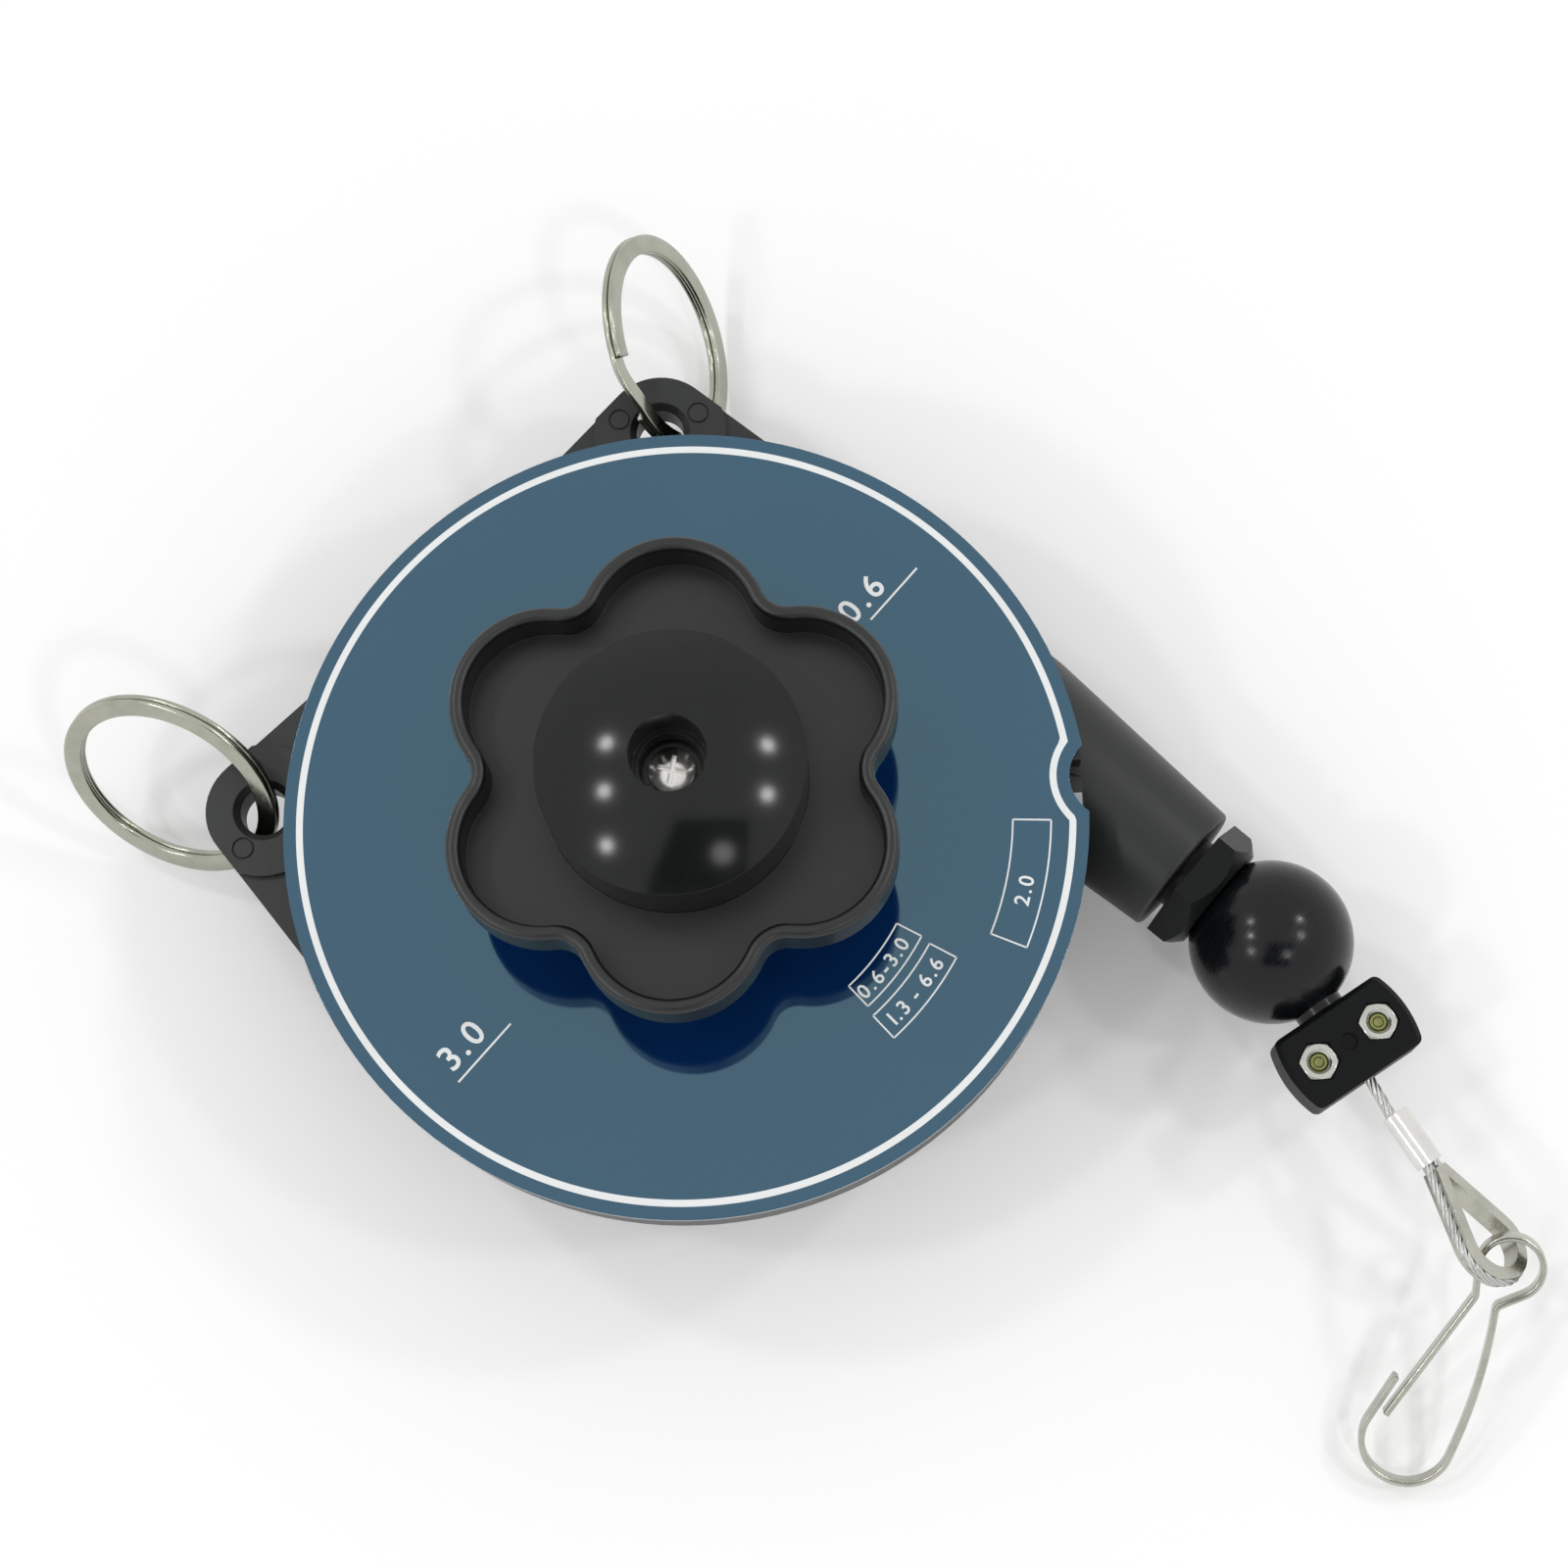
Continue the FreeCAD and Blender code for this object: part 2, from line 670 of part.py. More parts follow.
def make_drum():
    grooves = groove_line()
    front_step = V(size.groove_radius, 0, size.drum_front - size.drum_flange_thickness)
    back_step = V(size.groove_radius, 0, size.drum_back + size.drum_flange_thickness)
    profile = [V(size.drum_bush_radius, 0, size.drum_back), V(size.drum_flange_radius, 0, size.drum_back),
               V(size.drum_flange_radius, 0, back_step.z), back_step] + grooves + [
               front_step, V(size.drum_flange_radius, 0, front_step.z),
               V(size.drum_flange_radius, 0, size.drum_front),
               V(size.drum_rim_inner, 0, size.drum_front), V(size.drum_rim_inner, 0, size.drum_floor),
               V(size.drum_bush_radius, 0, size.drum_floor)]
    drum = revolve_points(profile)
    for index in range(int(size.drum_screw_count)):
        place = polar(size.drum_screw_circle, 60 + 360 * index / size.drum_screw_count)
        drum = drum.cut(Part.makeCylinder(size.drum_screw_radius, size.drum_screw_length,
                                          place + UP * (size.drum_front - size.drum_screw_length
                                                + size.drum_screw_tip_gap)))
    drum = drum.cut(anchor_solid())
    drum = drum.cut(spring_solid(size.fit))
    keep("drum", made("drum", drum))


def anchor_solid():
    """Cable end sleeve in its pocket in the rim of the drum."""
    place = polar(size.groove_radius - size.anchor_radius - 1, 30)
    return Part.makeCylinder(size.anchor_radius, size.anchor_length, place + UP * size.drum_back)


def make_winding():
    """Cable turns lying side by side in the grooves."""
    inner = groove_line()
    outer = []
    top = size.cable_line + size.cable_radius
    for turn in range(int(size.drum_turns)):
        level = size.wind_start + turn * size.cable_pitch
        outer.append(V(size.cable_line, 0, level - size.cable_radius))
        outer.append(V(top, 0, level - size.cable_radius / 2))
        outer.append(V(top, 0, level + size.cable_radius / 2))
        outer.append(V(size.cable_line, 0, level + size.cable_radius))
    keep("cable_winding", made("cable_winding", revolve_points(inner + outer[::-1])))
    keep("cable_anchor", made("cable_anchor", anchor_solid()))


def make_drum_fittings():
    keep("drum_bush", turned("drum_bush", ("spindle_radius + fit", "drum_back"),
                             ("drum_bush_radius", "drum_back"), ("drum_bush_radius", "drum_floor"),
                             ("spindle_radius + fit", "drum_floor")))
    bore = "spindle_radius + clearance"
    disc = turned("drum_cover_disc", (bore, "drum_front"), ("drum_cover_radius", "drum_front"),
                  ("drum_cover_radius", "drum_cover_front"), (bore, "drum_cover_front"))
    holes, screws = [], []
    for index in range(int(size.drum_screw_count)):
        angle = "(60 + 360 * %d / drum_screw_count)" % index
        x, y = "drum_screw_circle * cos%s" % angle, "drum_screw_circle * sin%s" % angle
        holes.append(cylinder("drum_cover_hole_%d" % index, "drum_screw_radius", "3 * drum_cover_thickness",
                              x, y, "drum_front - drum_cover_thickness"))
        screws.append(cylinder("drum_screw_head_%d" % index, "drum_screw_head_radius",
                               "drum_screw_head_height", x, y, "drum_cover_front"))
        screws.append(cylinder("drum_screw_shank_%d" % index, "drum_screw_radius",
                               "drum_screw_length - 2 * drum_screw_tip_gap + drum_cover_thickness", x, y,
                               "drum_front - drum_screw_length + 2 * drum_screw_tip_gap"))
    keep("drum_cover", cut("drum_cover", disc, *holes))
    keep("drum_cover_screws", fuse("drum_cover_screws", *screws))


# Power spring: a flat strip coiled from the spindle out to the drum rim


def half_turns(first_radius, step, halves, offset=0.0):
    """Half circles that join into a spiral, each one larger than the last by a step."""
    edges = []
    radius, centre = first_radius, 0.0
    for half in range(halves):
        sign = 1 if half % 2 == 0 else -1
        reach = radius + offset
        start = V(centre + sign * reach, 0, 0)
        edges.append(arc(start, V(centre, sign * reach, 0), V(centre - sign * reach, 0, 0)))
        centre += sign * step
        radius += step
    return edges


def spiral_edges(offset):
    """Spiral from the spindle slot out to the rim."""
    inner = size.spindle_radius + 3 * size.spring_strip
    outer = size.drum_rim_inner - size.spring_strip
    halves = 2 * int(size.spring_turns)
    return half_turns(inner, (outer - inner) / halves, halves, offset)


def spring_solid(extra=0.0):
    """The coiled strip with its inner hook in the spindle and its outer hook in the rim."""
    half = size.spring_strip / 2 + extra
    inside, outside = spiral_edges(-half), spiral_edges(half)
    first_in, first_out = inside[0].Vertexes[0].Point, outside[0].Vertexes[0].Point
    last_in, last_out = inside[-1].Vertexes[-1].Point, outside[-1].Vertexes[-1].Point
    edges = inside + outside + [line(first_in, first_out), line(last_in, last_out)]
    bottom = size.drum_floor + size.clearance - extra
    strip = plate_from(edges, bottom, size.spring_band + 2 * extra)
    inner_hook = Part.makeBox(first_out.x - (size.spindle_radius - size.spring_hook), 2 * half,
                              size.spring_band + 2 * extra,
                              V(size.spindle_radius - size.spring_hook, -half, bottom))
    outer_hook = Part.makeBox(size.spring_hook + 2 * extra, 2 * half, size.spring_band + 2 * extra,
                              V(last_in.x, -half, bottom))
    return strip.fuse([inner_hook, outer_hook]).removeSplitter()


def make_power_spring():
    keep("power_spring", made("power_spring", spring_solid()))


# Spindle, ratchet wheel and retaining ring


def hexagon_solid(radius, bottom, height, first=0.0):
    corners = [polar(radius, first + 60 * corner) for corner in range(7)]
    prism = Part.Face(Part.makePolygon(corners)).extrude(V(0, 0, height))
    prism.translate(V(0, 0, bottom))
    return prism


def square_solid(flats, bottom, height):
    return Part.makeBox(flats, flats, height, V(-flats / 2, -flats / 2, bottom))


def make_spindle():
    groove = "spindle_radius - ring_groove_depth"
    blank = turned("spindle_blank", ("0", "housing_floor - 0.7"), ("rear_journal_radius", "housing_floor - 0.7"),
                   ("rear_journal_radius", "rear_boss_top + 0.1"), ("spindle_radius", "rear_boss_top + 0.1"),
                   ("spindle_radius", "retainer_back"), (groove, "retainer_back"),
                   (groove, "retainer_back + retainer_thickness"),
                   ("spindle_radius", "retainer_back + retainer_thickness"), ("spindle_radius", "wheel_front"),
                   ("front_journal_radius", "wheel_front"), ("front_journal_radius", "spindle_end"),
                   ("0", "spindle_end"))
    doc.recompute()
    shape = blank.Shape.copy()
    seat = ring_solid(2 * size.spindle_radius, 0.1, size.wheel_back, size.wheel_thickness)
    seat = seat.cut(hexagon_solid(size.spindle_radius, size.wheel_back - 1, size.wheel_thickness + 2))
    drive_height = size.spindle_end - size.cover_boss_top - 1
    drive = ring_solid(2 * size.spindle_radius, 0.1, size.cover_boss_top + 1, drive_height)
    drive = drive.cut(square_solid(size.knob_square, size.cover_boss_top, drive_height + 2))
    slot = Part.makeBox(2 * size.spring_hook, size.spring_strip + 2 * size.fit,
                        size.spring_band + 2 * size.clearance,
                        V(size.spindle_radius - size.spring_hook - size.fit,
                          -size.spring_strip / 2 - size.fit, size.drum_floor))
    thread = Part.makeCylinder(size.knob_screw_radius, size.knob_screw_length,
                               V(0, 0, size.screw_seat - size.knob_screw_length))
    shape = shape.cut([seat, drive, slot, thread])
    keep("spindle", made("spindle", shape))


def make_ratchet_wheel():
    """Saw teeth that let the knob wind the spring and hold it against the pawl."""
    teeth = int(size.wheel_teeth)
    root = size.wheel_radius - size.wheel_tooth_depth
    corners = []
    for tooth in range(teeth):
        angle = 360 * tooth / teeth
        corners.append(polar(root, angle))
        corners.append(polar(size.wheel_radius, angle + 0.5))
    wheel = Part.Face(Part.makePolygon(corners + [corners[0]])).extrude(V(0, 0, size.wheel_thickness))
    wheel.translate(V(0, 0, size.wheel_back))
    bore = hexagon_solid(size.spindle_radius + size.fit, size.wheel_back - 1, size.wheel_thickness + 2)
    keep("ratchet_wheel", made("ratchet_wheel", wheel.cut(bore)))


def make_retaining_ring():
    inner = size.spindle_radius - size.ring_groove_depth
    ring = ring_solid(inner + size.retainer_width, inner, size.retainer_back, size.retainer_thickness)
    gap = Part.makeBox(2 * inner, inner, 4 * size.retainer_thickness,
                       V(0, -inner / 2, size.retainer_back - size.retainer_thickness))
    keep("retaining_ring", made("retaining_ring", ring.cut(gap)))


# Release pawl with its pin, clip and spring


def pawl_pivot():
    return polar(size.pawl_pivot_circle, size.pawl_pivot_angle)


def bar(start, end, width, bottom, thickness):
    """Flat bar with round ends between two points."""
    along = (end - start).normalize()
    side = V(-along.y, along.x, 0) * (width / 2)
    edges = [line(start + side, end + side), arc(end + side, end + along * (width / 2), end - side),
             line(end - side, start - side), arc(start - side, start - along * (width / 2), start + side)]
    return plate_from(edges, bottom, thickness)


def pawl_nose_angle():
    """Where the pawl meets the wheel, square to the wheel's radius."""
    reach = size.wheel_radius - size.wheel_tooth_depth
    return size.pawl_pivot_angle + degrees(pi / 2 - asin(reach / size.pawl_pivot_circle))


def make_release_pawl():
    """Pawl drawn lifted clear of the teeth, as while the spring is being tensioned."""
    pivot = pawl_pivot()
    teeth = int(size.wheel_teeth)
    pitch = 360 / teeth
    root = size.wheel_radius - size.wheel_tooth_depth
    tooth_angle = pitch * round(pawl_nose_angle() / pitch)
    tooth_foot = polar(root + size.clearance, tooth_angle - 1.2)
    tooth_top = polar(size.wheel_radius, tooth_angle - 1.2)
    behind = polar(size.wheel_radius + 3.5, tooth_angle - 8)
    toe = polar(root + 1.6, tooth_angle - 6)
    nose_edges = [line(tooth_foot, tooth_top), line(tooth_top, behind), line(behind, toe),
                  line(toe, tooth_foot)]
    nose = plate_from(nose_edges, size.pawl_back, size.pawl_thickness)
    arm_end = polar(size.wheel_radius + 2.6, tooth_angle - 6)
    eye = Part.makeCylinder(size.pawl_eye_radius, size.pawl_thickness, pivot + UP * size.pawl_back)
    arm = bar(pivot, arm_end, 3.6, size.pawl_back, size.pawl_thickness)
    for piece in (nose, arm):
        piece.rotate(pivot, UP, -size.pawl_lift)
    tab_start = polar(size.pawl_tab_inner + 1.5, size.pawl_tab_angle)
    lever = bar(pivot, tab_start, size.pawl_arm_width * 0.6, size.pawl_back, size.pawl_thickness)
    turn = FreeCAD.Rotation(UP, size.pawl_tab_angle)
    tab_bottom = size.cover_ceiling - 1
    tab_height = size.plate_back - size.clearance - tab_bottom
    tab = Part.makeBox(size.pawl_tab_outer - size.pawl_tab_inner, size.pawl_tab_width, tab_height)
    tab.Placement = FreeCAD.Placement(turn.multVec(V(size.pawl_tab_inner, -size.pawl_tab_width / 2, tab_bottom)),
                                      turn)
    riser = Part.makeBox(size.pawl_tab_width, size.pawl_tab_width, size.plate_back - 1 - size.pawl_back)
    riser.Placement = FreeCAD.Placement(
        turn.multVec(V(size.pawl_tab_inner, -size.pawl_tab_width / 2, size.pawl_back)), turn)
    bore = Part.makeCylinder(size.pawl_pin_radius + size.fit, 3 * size.pawl_thickness,
                             pivot + UP * (size.pawl_back - size.pawl_thickness))
    shape = eye.fuse([nose, arm, lever, tab, riser]).removeSplitter().cut(bore)
    keep("release_pawl", made("release_pawl", shape))


def make_pawl_fittings():
    pivot = pawl_pivot()
    pin_start = size.pawl_back - 1.6
    pin_end = size.plate_back - 1.2
    pin = Part.makeCylinder(size.pawl_pin_radius, pin_end - pin_start, pivot + UP * pin_start)
    clip_start = size.pawl_back - 1.1
    groove = Part.makeCylinder(size.pawl_pin_radius + 1, 0.8, pivot + UP * clip_start).cut(
        Part.makeCylinder(size.pawl_pin_radius - 0.5, 0.8, pivot + UP * clip_start))
    keep("pawl_pin", made("pawl_pin", pin.cut(groove)))
    clip = Part.makeCylinder(size.pawl_pin_radius + 2, 0.8, pivot + UP * clip_start).cut(
        Part.makeCylinder(size.pawl_pin_radius - 0.5, 0.8, pivot + UP * clip_start))
    mouth = Part.makeBox(size.pawl_pin_radius * 3, size.pawl_pin_radius * 1.2, 2,
                         pivot + V(0, -size.pawl_pin_radius * 0.6, clip_start - 0.5))
    keep("pawl_clip", made("pawl_clip", clip.cut(mouth)))
    keep("pawl_spring", made("pawl_spring", return_spring(pivot)))


def return_spring(pivot):
    """Wire wound in a flat spiral round the pin, with a straight leg."""
    wire = size.pawl_spring_wire
    first = size.pawl_pin_radius + wire + size.clearance
    coils = half_turns(first, 1.3 * wire, 2 * int(size.pawl_spring_turns))
    start, end = V(first, 0, 0), coils[-1].Vertexes[-1].Point
    leg = line(end, end + V(0, size.pawl_spring_leg, 0))
    profile = Part.Wire(Part.makeCircle(wire, start, V(0, 1, 0)))
    spring = Part.Wire(coils + [leg]).makePipeShell([profile], True, False)
    spring.Placement = FreeCAD.Placement(pivot + UP * (size.pawl_front + wire + 0.1),
                                         FreeCAD.Rotation(UP, 60))
    return spring


# Tension knob: six lobes with a raised rim, a domed hub and a screw well


def petal_outline(inset):
    """Closed outline of the lobes, moved inwards by a wall."""
    lobes = int(size.knob_lobes)
    half = pi / lobes
    lobe, valley, reach = size.knob_lobe_radius, size.knob_valley_radius, size.knob_lobe_circle
    middle = reach * cos(half)
    valley_reach = middle + sqrt(middle ** 2 - reach ** 2 + (lobe + valley) ** 2)
    edges = []
    for index in range(lobes):
        angle = size.knob_first_lobe + 360 * index / lobes
        centre = polar(reach, angle)
        after = polar(valley_reach, angle + degrees(half))
        before = polar(valley_reach, angle - degrees(half))
        next_centre = polar(reach, angle + 2 * degrees(half))
        start = centre + (before - centre).normalize() * (lobe - inset)
        end = centre + (after - centre).normalize() * (lobe - inset)
        edges.append(arc(start, polar(reach + lobe - inset, angle), end))
        valley_end = next_centre + (after - next_centre).normalize() * (lobe - inset)
        bottom = polar(valley_reach - valley - inset, angle + degrees(half))
        edges.append(arc(end, bottom, valley_end))
    return edges


def edges_at(shape, level):
    """Edges of a shape that lie at one height."""
    return [edge for edge in shape.Edges if abs(edge.BoundBox.ZMin - level) < 1e-4
            and abs(edge.BoundBox.ZMax - level) < 1e-4]


def make_tension_knob():
    lobes = plate_from(petal_outline(0), size.knob_base, size.knob_height)
    hollow = plate_from(petal_outline(size.knob_rim), size.knob_floor, size.knob_height)
    dish = lobes.cut(hollow)
    dish = dish.makeFillet(size.knob_rim_round, edges_at(dish, size.knob_rim_top))
    dish = dish.makeFillet(size.knob_skirt_round, edges_at(dish, size.knob_base))
    ball_radius = (size.dome_radius ** 2 + size.dome_crown ** 2) / (2 * size.dome_crown)
    boss = Part.makeCylinder(size.dome_radius, size.dome_side + size.dome_crown + 1, V(0, 0, size.knob_floor - 1))
    dome = Part.makeSphere(ball_radius, V(0, 0, size.dome_edge + size.dome_crown - ball_radius))
    hub_start = size.cover_boss_top + size.clearance
    hub = Part.makeCone(size.knob_hub_radius, size.knob_hub_radius + 2, size.knob_base - hub_start + 0.5,
                        V(0, 0, hub_start))
    solid = dish.fuse([boss.common(dome), hub]).removeSplitter()
    well = Part.makeCylinder(size.dome_hole_radius, 30, V(0, 0, size.screw_seat + size.dome_step_depth))
    step = Part.makeCylinder(size.dome_step_radius, 30, V(0, 0, size.screw_seat))
    square = square_solid(size.knob_square + 2 * size.fit, hub_start - 1, size.spindle_end + 0.2 - hub_start + 1)
    shank = Part.makeCylinder(size.knob_screw_radius + 0.2, 10, V(0, 0, size.screw_seat - 5))
    relief = Part.makeCylinder(size.front_journal_radius + size.clearance, 2 + size.clearance,
                               V(0, 0, size.cover_boss_top - 1))
    keep("tension_knob", made("tension_knob", solid.cut([well, step, square, shank, relief])))


def make_knob_fittings():
    seat, washer = size.screw_seat, size.knob_washer_thickness
    keep("knob_washer", made("knob_washer", ring_solid(size.knob_washer_radius, size.knob_screw_radius + 0.2,
                                                       seat, washer)))
    head_radius, head = size.knob_screw_head_radius, size.knob_screw_head_height
    crown = 0.7
    ball = (head_radius ** 2 + crown ** 2) / (2 * crown)
    blank = Part.makeCylinder(head_radius, head + crown, V(0, 0, seat + washer))
    cap = Part.makeSphere(ball, V(0, 0, seat + washer + head + crown - ball))
    shank = Part.makeCylinder(size.knob_screw_radius, size.knob_screw_length - 1 + washer,
                              V(0, 0, seat - size.knob_screw_length + 1))
    screw = blank.common(cap).fuse(shank)
    for turn in (0, 90):
        slot = Part.makeBox(2.3 * 2, 0.8, 5, V(-2.3, -0.4, seat + washer + 0.9))
        slot.rotate(V(0, 0, 0), UP, turn + 30)
        screw = screw.cut(slot)
    keep("knob_screw", made("knob_screw", screw))


# Cable, ball and clamp


def cable_end_frame():
    """Placement of everything past the ball: origin at its centre, -Y along the cable end."""
    return FreeCAD.Placement(V(size.cable_line, -size.ball_distance, size.cable_height),
                             FreeCAD.Rotation(UP, -size.end_angle))


def in_end_frame(label, shape):
    item = made(label, shape)
    item.Placement = cable_end_frame().multiply(shape.Placement)
    return keep(label, item)


def along_end(radius, start, length, side=V(0, 0, 0)):
    return Part.makeCylinder(radius, length, V(0, -start, 0) + side, V(0, -1, 0))


def make_cable_run():
    """Straight cable from where it leaves the winding to the middle of the ball."""
    free = size.cable_line + 2 * size.cable_radius + 0.1
    start = sqrt(free ** 2 - size.cable_line ** 2)
    keep("cable_run", cylinder_along_cable("cable_run", "cable_radius", "ball_distance - %.4f" % start,
                                           "%.4f" % start))


def make_ball_buffer():
    ball = Part.makeSphere(size.ball_radius)
    neck = along_end(size.ball_neck_radius, 0, size.ball_radius + size.clamp_gap)
    front_bore = Part.makeCylinder(size.cable_radius + size.fit, 2 * size.ball_radius, V(0, 0, 0), V(0, 1, 0))
    front_bore.rotate(V(0, 0, 0), UP, size.end_angle)
    rear_bore = along_end(size.cable_radius + size.fit, 0, 2 * size.ball_radius)
    middle = Part.makeSphere(size.cable_radius + size.fit)
    in_end_frame("ball_buffer", ball.fuse(neck).removeSplitter().cut([front_bore, rear_bore, middle]))


def clamp_outline(inset):
    """Block outline with two straight sides and two bulged ends."""
    half_width = size.clamp_width / 2 - inset
    half_length = size.clamp_length / 2 - inset
    middle = -(size.ball_radius + size.clamp_gap + size.clamp_length / 2)
    corners = [V(-half_width, middle - half_length, 0), V(half_width, middle - half_length, 0),
               V(half_width, middle + half_length, 0), V(-half_width, middle + half_length, 0)]
    right = V(half_width + size.clamp_bulge, middle, 0)
    left = V(-half_width - size.clamp_bulge, middle, 0)
    return [line(corners[0], corners[1]), arc(corners[1], right, corners[2]),
            line(corners[2], corners[3]), arc(corners[3], left, corners[0])]


def clamp_half(side):
    """Half of the clamp block, side +1 above the cable and -1 below it."""
    half = size.clamp_thickness / 2
    block = plate_from(clamp_outline(0), 0, half)
    upright = [edge for edge in block.Edges if len(edge.Vertexes) == 2
               and abs(edge.Vertexes[0].X - edge.Vertexes[1].X) < 1e-6
               and abs(edge.Vertexes[0].Y - edge.Vertexes[1].Y) < 1e-6]
    block = block.makeFillet(size.clamp_corner, upright)
    rim = [edge for edge in block.Edges if all(abs(vertex.Z - half) < 1e-6 for vertex in edge.Vertexes)]
    block = block.makeChamfer(size.clamp_bevel, rim)
    if side < 0:
        block = block.mirror(V(0, 0, 0), UP)
    return block


def clamp_bolt_places():
    middle = -(size.ball_radius + size.clamp_gap + size.clamp_length / 2)
    for side in (-1, 1):
        yield V(side * size.clamp_bolt_spacing / 2, middle, 0)


def nut_chamfer(radius, top):
    """Steep cone that takes the corners off the top of a nut."""
    depth = 4 * radius
    return Part.makeCone(radius * 0.87 + depth * sqrt(3), radius * 0.87, depth, UP * (top - depth))


def make_clamp():
    half = size.clamp_thickness / 2
    nut_radius = size.clamp_nut_flats / sqrt(3)
    nut_start = half - size.clamp_nut_height - 0.1
    groove = along_end(size.cable_radius, 0, 3 * size.ball_radius)
    flare_start = size.ball_radius + size.clamp_gap + size.clamp_length - 1.2
    flare = Part.makeCone(size.cable_radius, size.cable_radius + 0.8, 1.3, V(0, -flare_start, 0), V(0, -1, 0))
    upper_cuts, lower_cuts, bolts, nuts = [groove, flare], [groove, flare], [], []
    for place in clamp_bolt_places():
        hole = Part.makeCylinder(size.clamp_bolt_radius, 4 * half, place - UP * 2 * half)
        pocket = hexagon_solid(nut_radius + size.clamp_pocket_gap, nut_start, 2 * half, 30)
        pocket.translate(place)
        sink = Part.makeCylinder(size.clamp_head_radius + size.clamp_pocket_gap, 2 * half,
                                 place + UP * (-half + size.clamp_head_height + 0.1 - 2 * half))
        upper_cuts += [hole, pocket]
        lower_cuts += [hole, sink]
        head = Part.makeCylinder(size.clamp_head_radius, size.clamp_head_height, place + UP * (-half + 0.1))
        socket = hexagon_solid(1.45, -half - 1, 2.3)
        socket.translate(place)
        shank = Part.makeCylinder(size.clamp_bolt_radius,
                                  2 * half - 0.1 - size.clamp_bolt_recess - size.clamp_head_height,
                                  place + UP * (-half + 0.1 + size.clamp_head_height))
        bolts.append(head.fuse(shank).removeSplitter().cut(socket))
        nut = hexagon_solid(nut_radius, nut_start, size.clamp_nut_height, 30)
        nut = nut.common(nut_chamfer(nut_radius, nut_start + size.clamp_nut_height))
        nut.translate(place)
        nuts.append(nut.cut(hole))
    middle = -(size.ball_radius + size.clamp_gap + size.clamp_length / 2)
    upper_cuts.append(Part.makeCylinder(size.clamp_dimple_radius, 2 * half,
                                        V(0, middle, half - size.clamp_dimple_depth)))
    in_end_frame("clamp_upper", clamp_half(1).cut(upper_cuts))
    in_end_frame("clamp_lower", clamp_half(-1).cut(lower_cuts))
    in_end_frame("clamp_screws", Part.makeCompound(bolts))
    in_end_frame("clamp_nuts", Part.makeCompound(nuts))


def clamp_end():
    return size.ball_radius + size.clamp_gap + size.clamp_length


def make_cable_end():
    """Cable through the ball and clamp, the bent neck, the ferrule and the eye round the thimble."""
    start = size.cable_radius + 0.3
    in_end_frame("cable_clamped", along_end(size.cable_radius, start, clamp_end() - start))
    neck = Part.makeCylinder(size.cable_radius, 3 * neck_vector().Length,
                             V(0, -clamp_end(), 0) - neck_vector(), neck_vector())
    slab = Part.makeBox(20, size.neck_length, 20, V(-10, -clamp_end() - size.neck_length, -10))
    in_end_frame("cable_neck", neck.common(slab))
    in_end_frame("ferrule", ferrule_solid())
    in_end_frame("cable_eye", eye_cable())
    in_end_frame("thimble", thimble_solid())


def ferrule_start():
    return clamp_end() + size.neck_length


def across_thimble():
    """Direction across the thimble, in the frame of the cable end."""
    return V(-cos(radians(size.thimble_tilt)), 0, sin(radians(size.thimble_tilt)))


def neck_vector():
    return V(0, -size.neck_length, 0) + across_thimble() * size.leg_offset


def ferrule_solid():
    """Oval sleeve pressed round both legs of the cable."""
    outer = size.cable_radius + size.ferrule_wall
    legs = [across_thimble() * size.leg_offset, across_thimble() * -size.leg_offset]
    start, length = ferrule_start(), size.ferrule_length
    ends = [along_end(outer, start, length, leg) for leg in legs]
    slab = Part.makeBox(2 * size.leg_offset, length, 2 * outer,
                        V(-size.leg_offset, -start - length, -outer))
    slab.rotate(V(0, 0, 0), V(0, 1, 0), size.thimble_tilt)
    bores = [along_end(size.cable_radius, start - 1, length + 2, leg) for leg in legs]
    return ends[0].fuse([ends[1], slab]).removeSplitter().cut(bores)


def teardrop(radius):
    """Half outline of the eye in its own plane: x along the cable, y across.

    The round end has the given radius and the straight leg starts at the ferrule's mouth,
    parallel to the outline of the cable's centre line."""
    centre_line = size.thimble_inner_radius + size.thimble_base + size.cable_radius
    reach = size.thimble_reach - size.thimble_kink
    slope = asin(centre_line / hypot(reach, size.leg_offset)) - atan2(size.leg_offset, reach)
    touch = V(size.thimble_reach - radius * sin(slope), radius * cos(slope), 0)
    shift = centre_line - radius
    start = V(size.thimble_kink + shift * sin(slope), size.leg_offset - shift * cos(slope), 0)
    if start.y < 0.0:
        start = V(start.x - start.y / tan(slope), 0.0, 0)
    return slope, start, touch


def eye_plane():
    """Placement of the eye's own plane in the frame of the cable end."""
    origin = V(0, -(ferrule_start() + size.ferrule_length), 0)
    along, across = V(0, -1, 0), across_thimble()
    matrix = FreeCAD.Matrix(along.x, across.x, along.cross(across).x, origin.x,
                            along.y, across.y, along.cross(across).y, origin.y,
                            along.z, across.z, along.cross(across).z, origin.z, 0, 0, 0, 1)
    return FreeCAD.Placement(matrix)


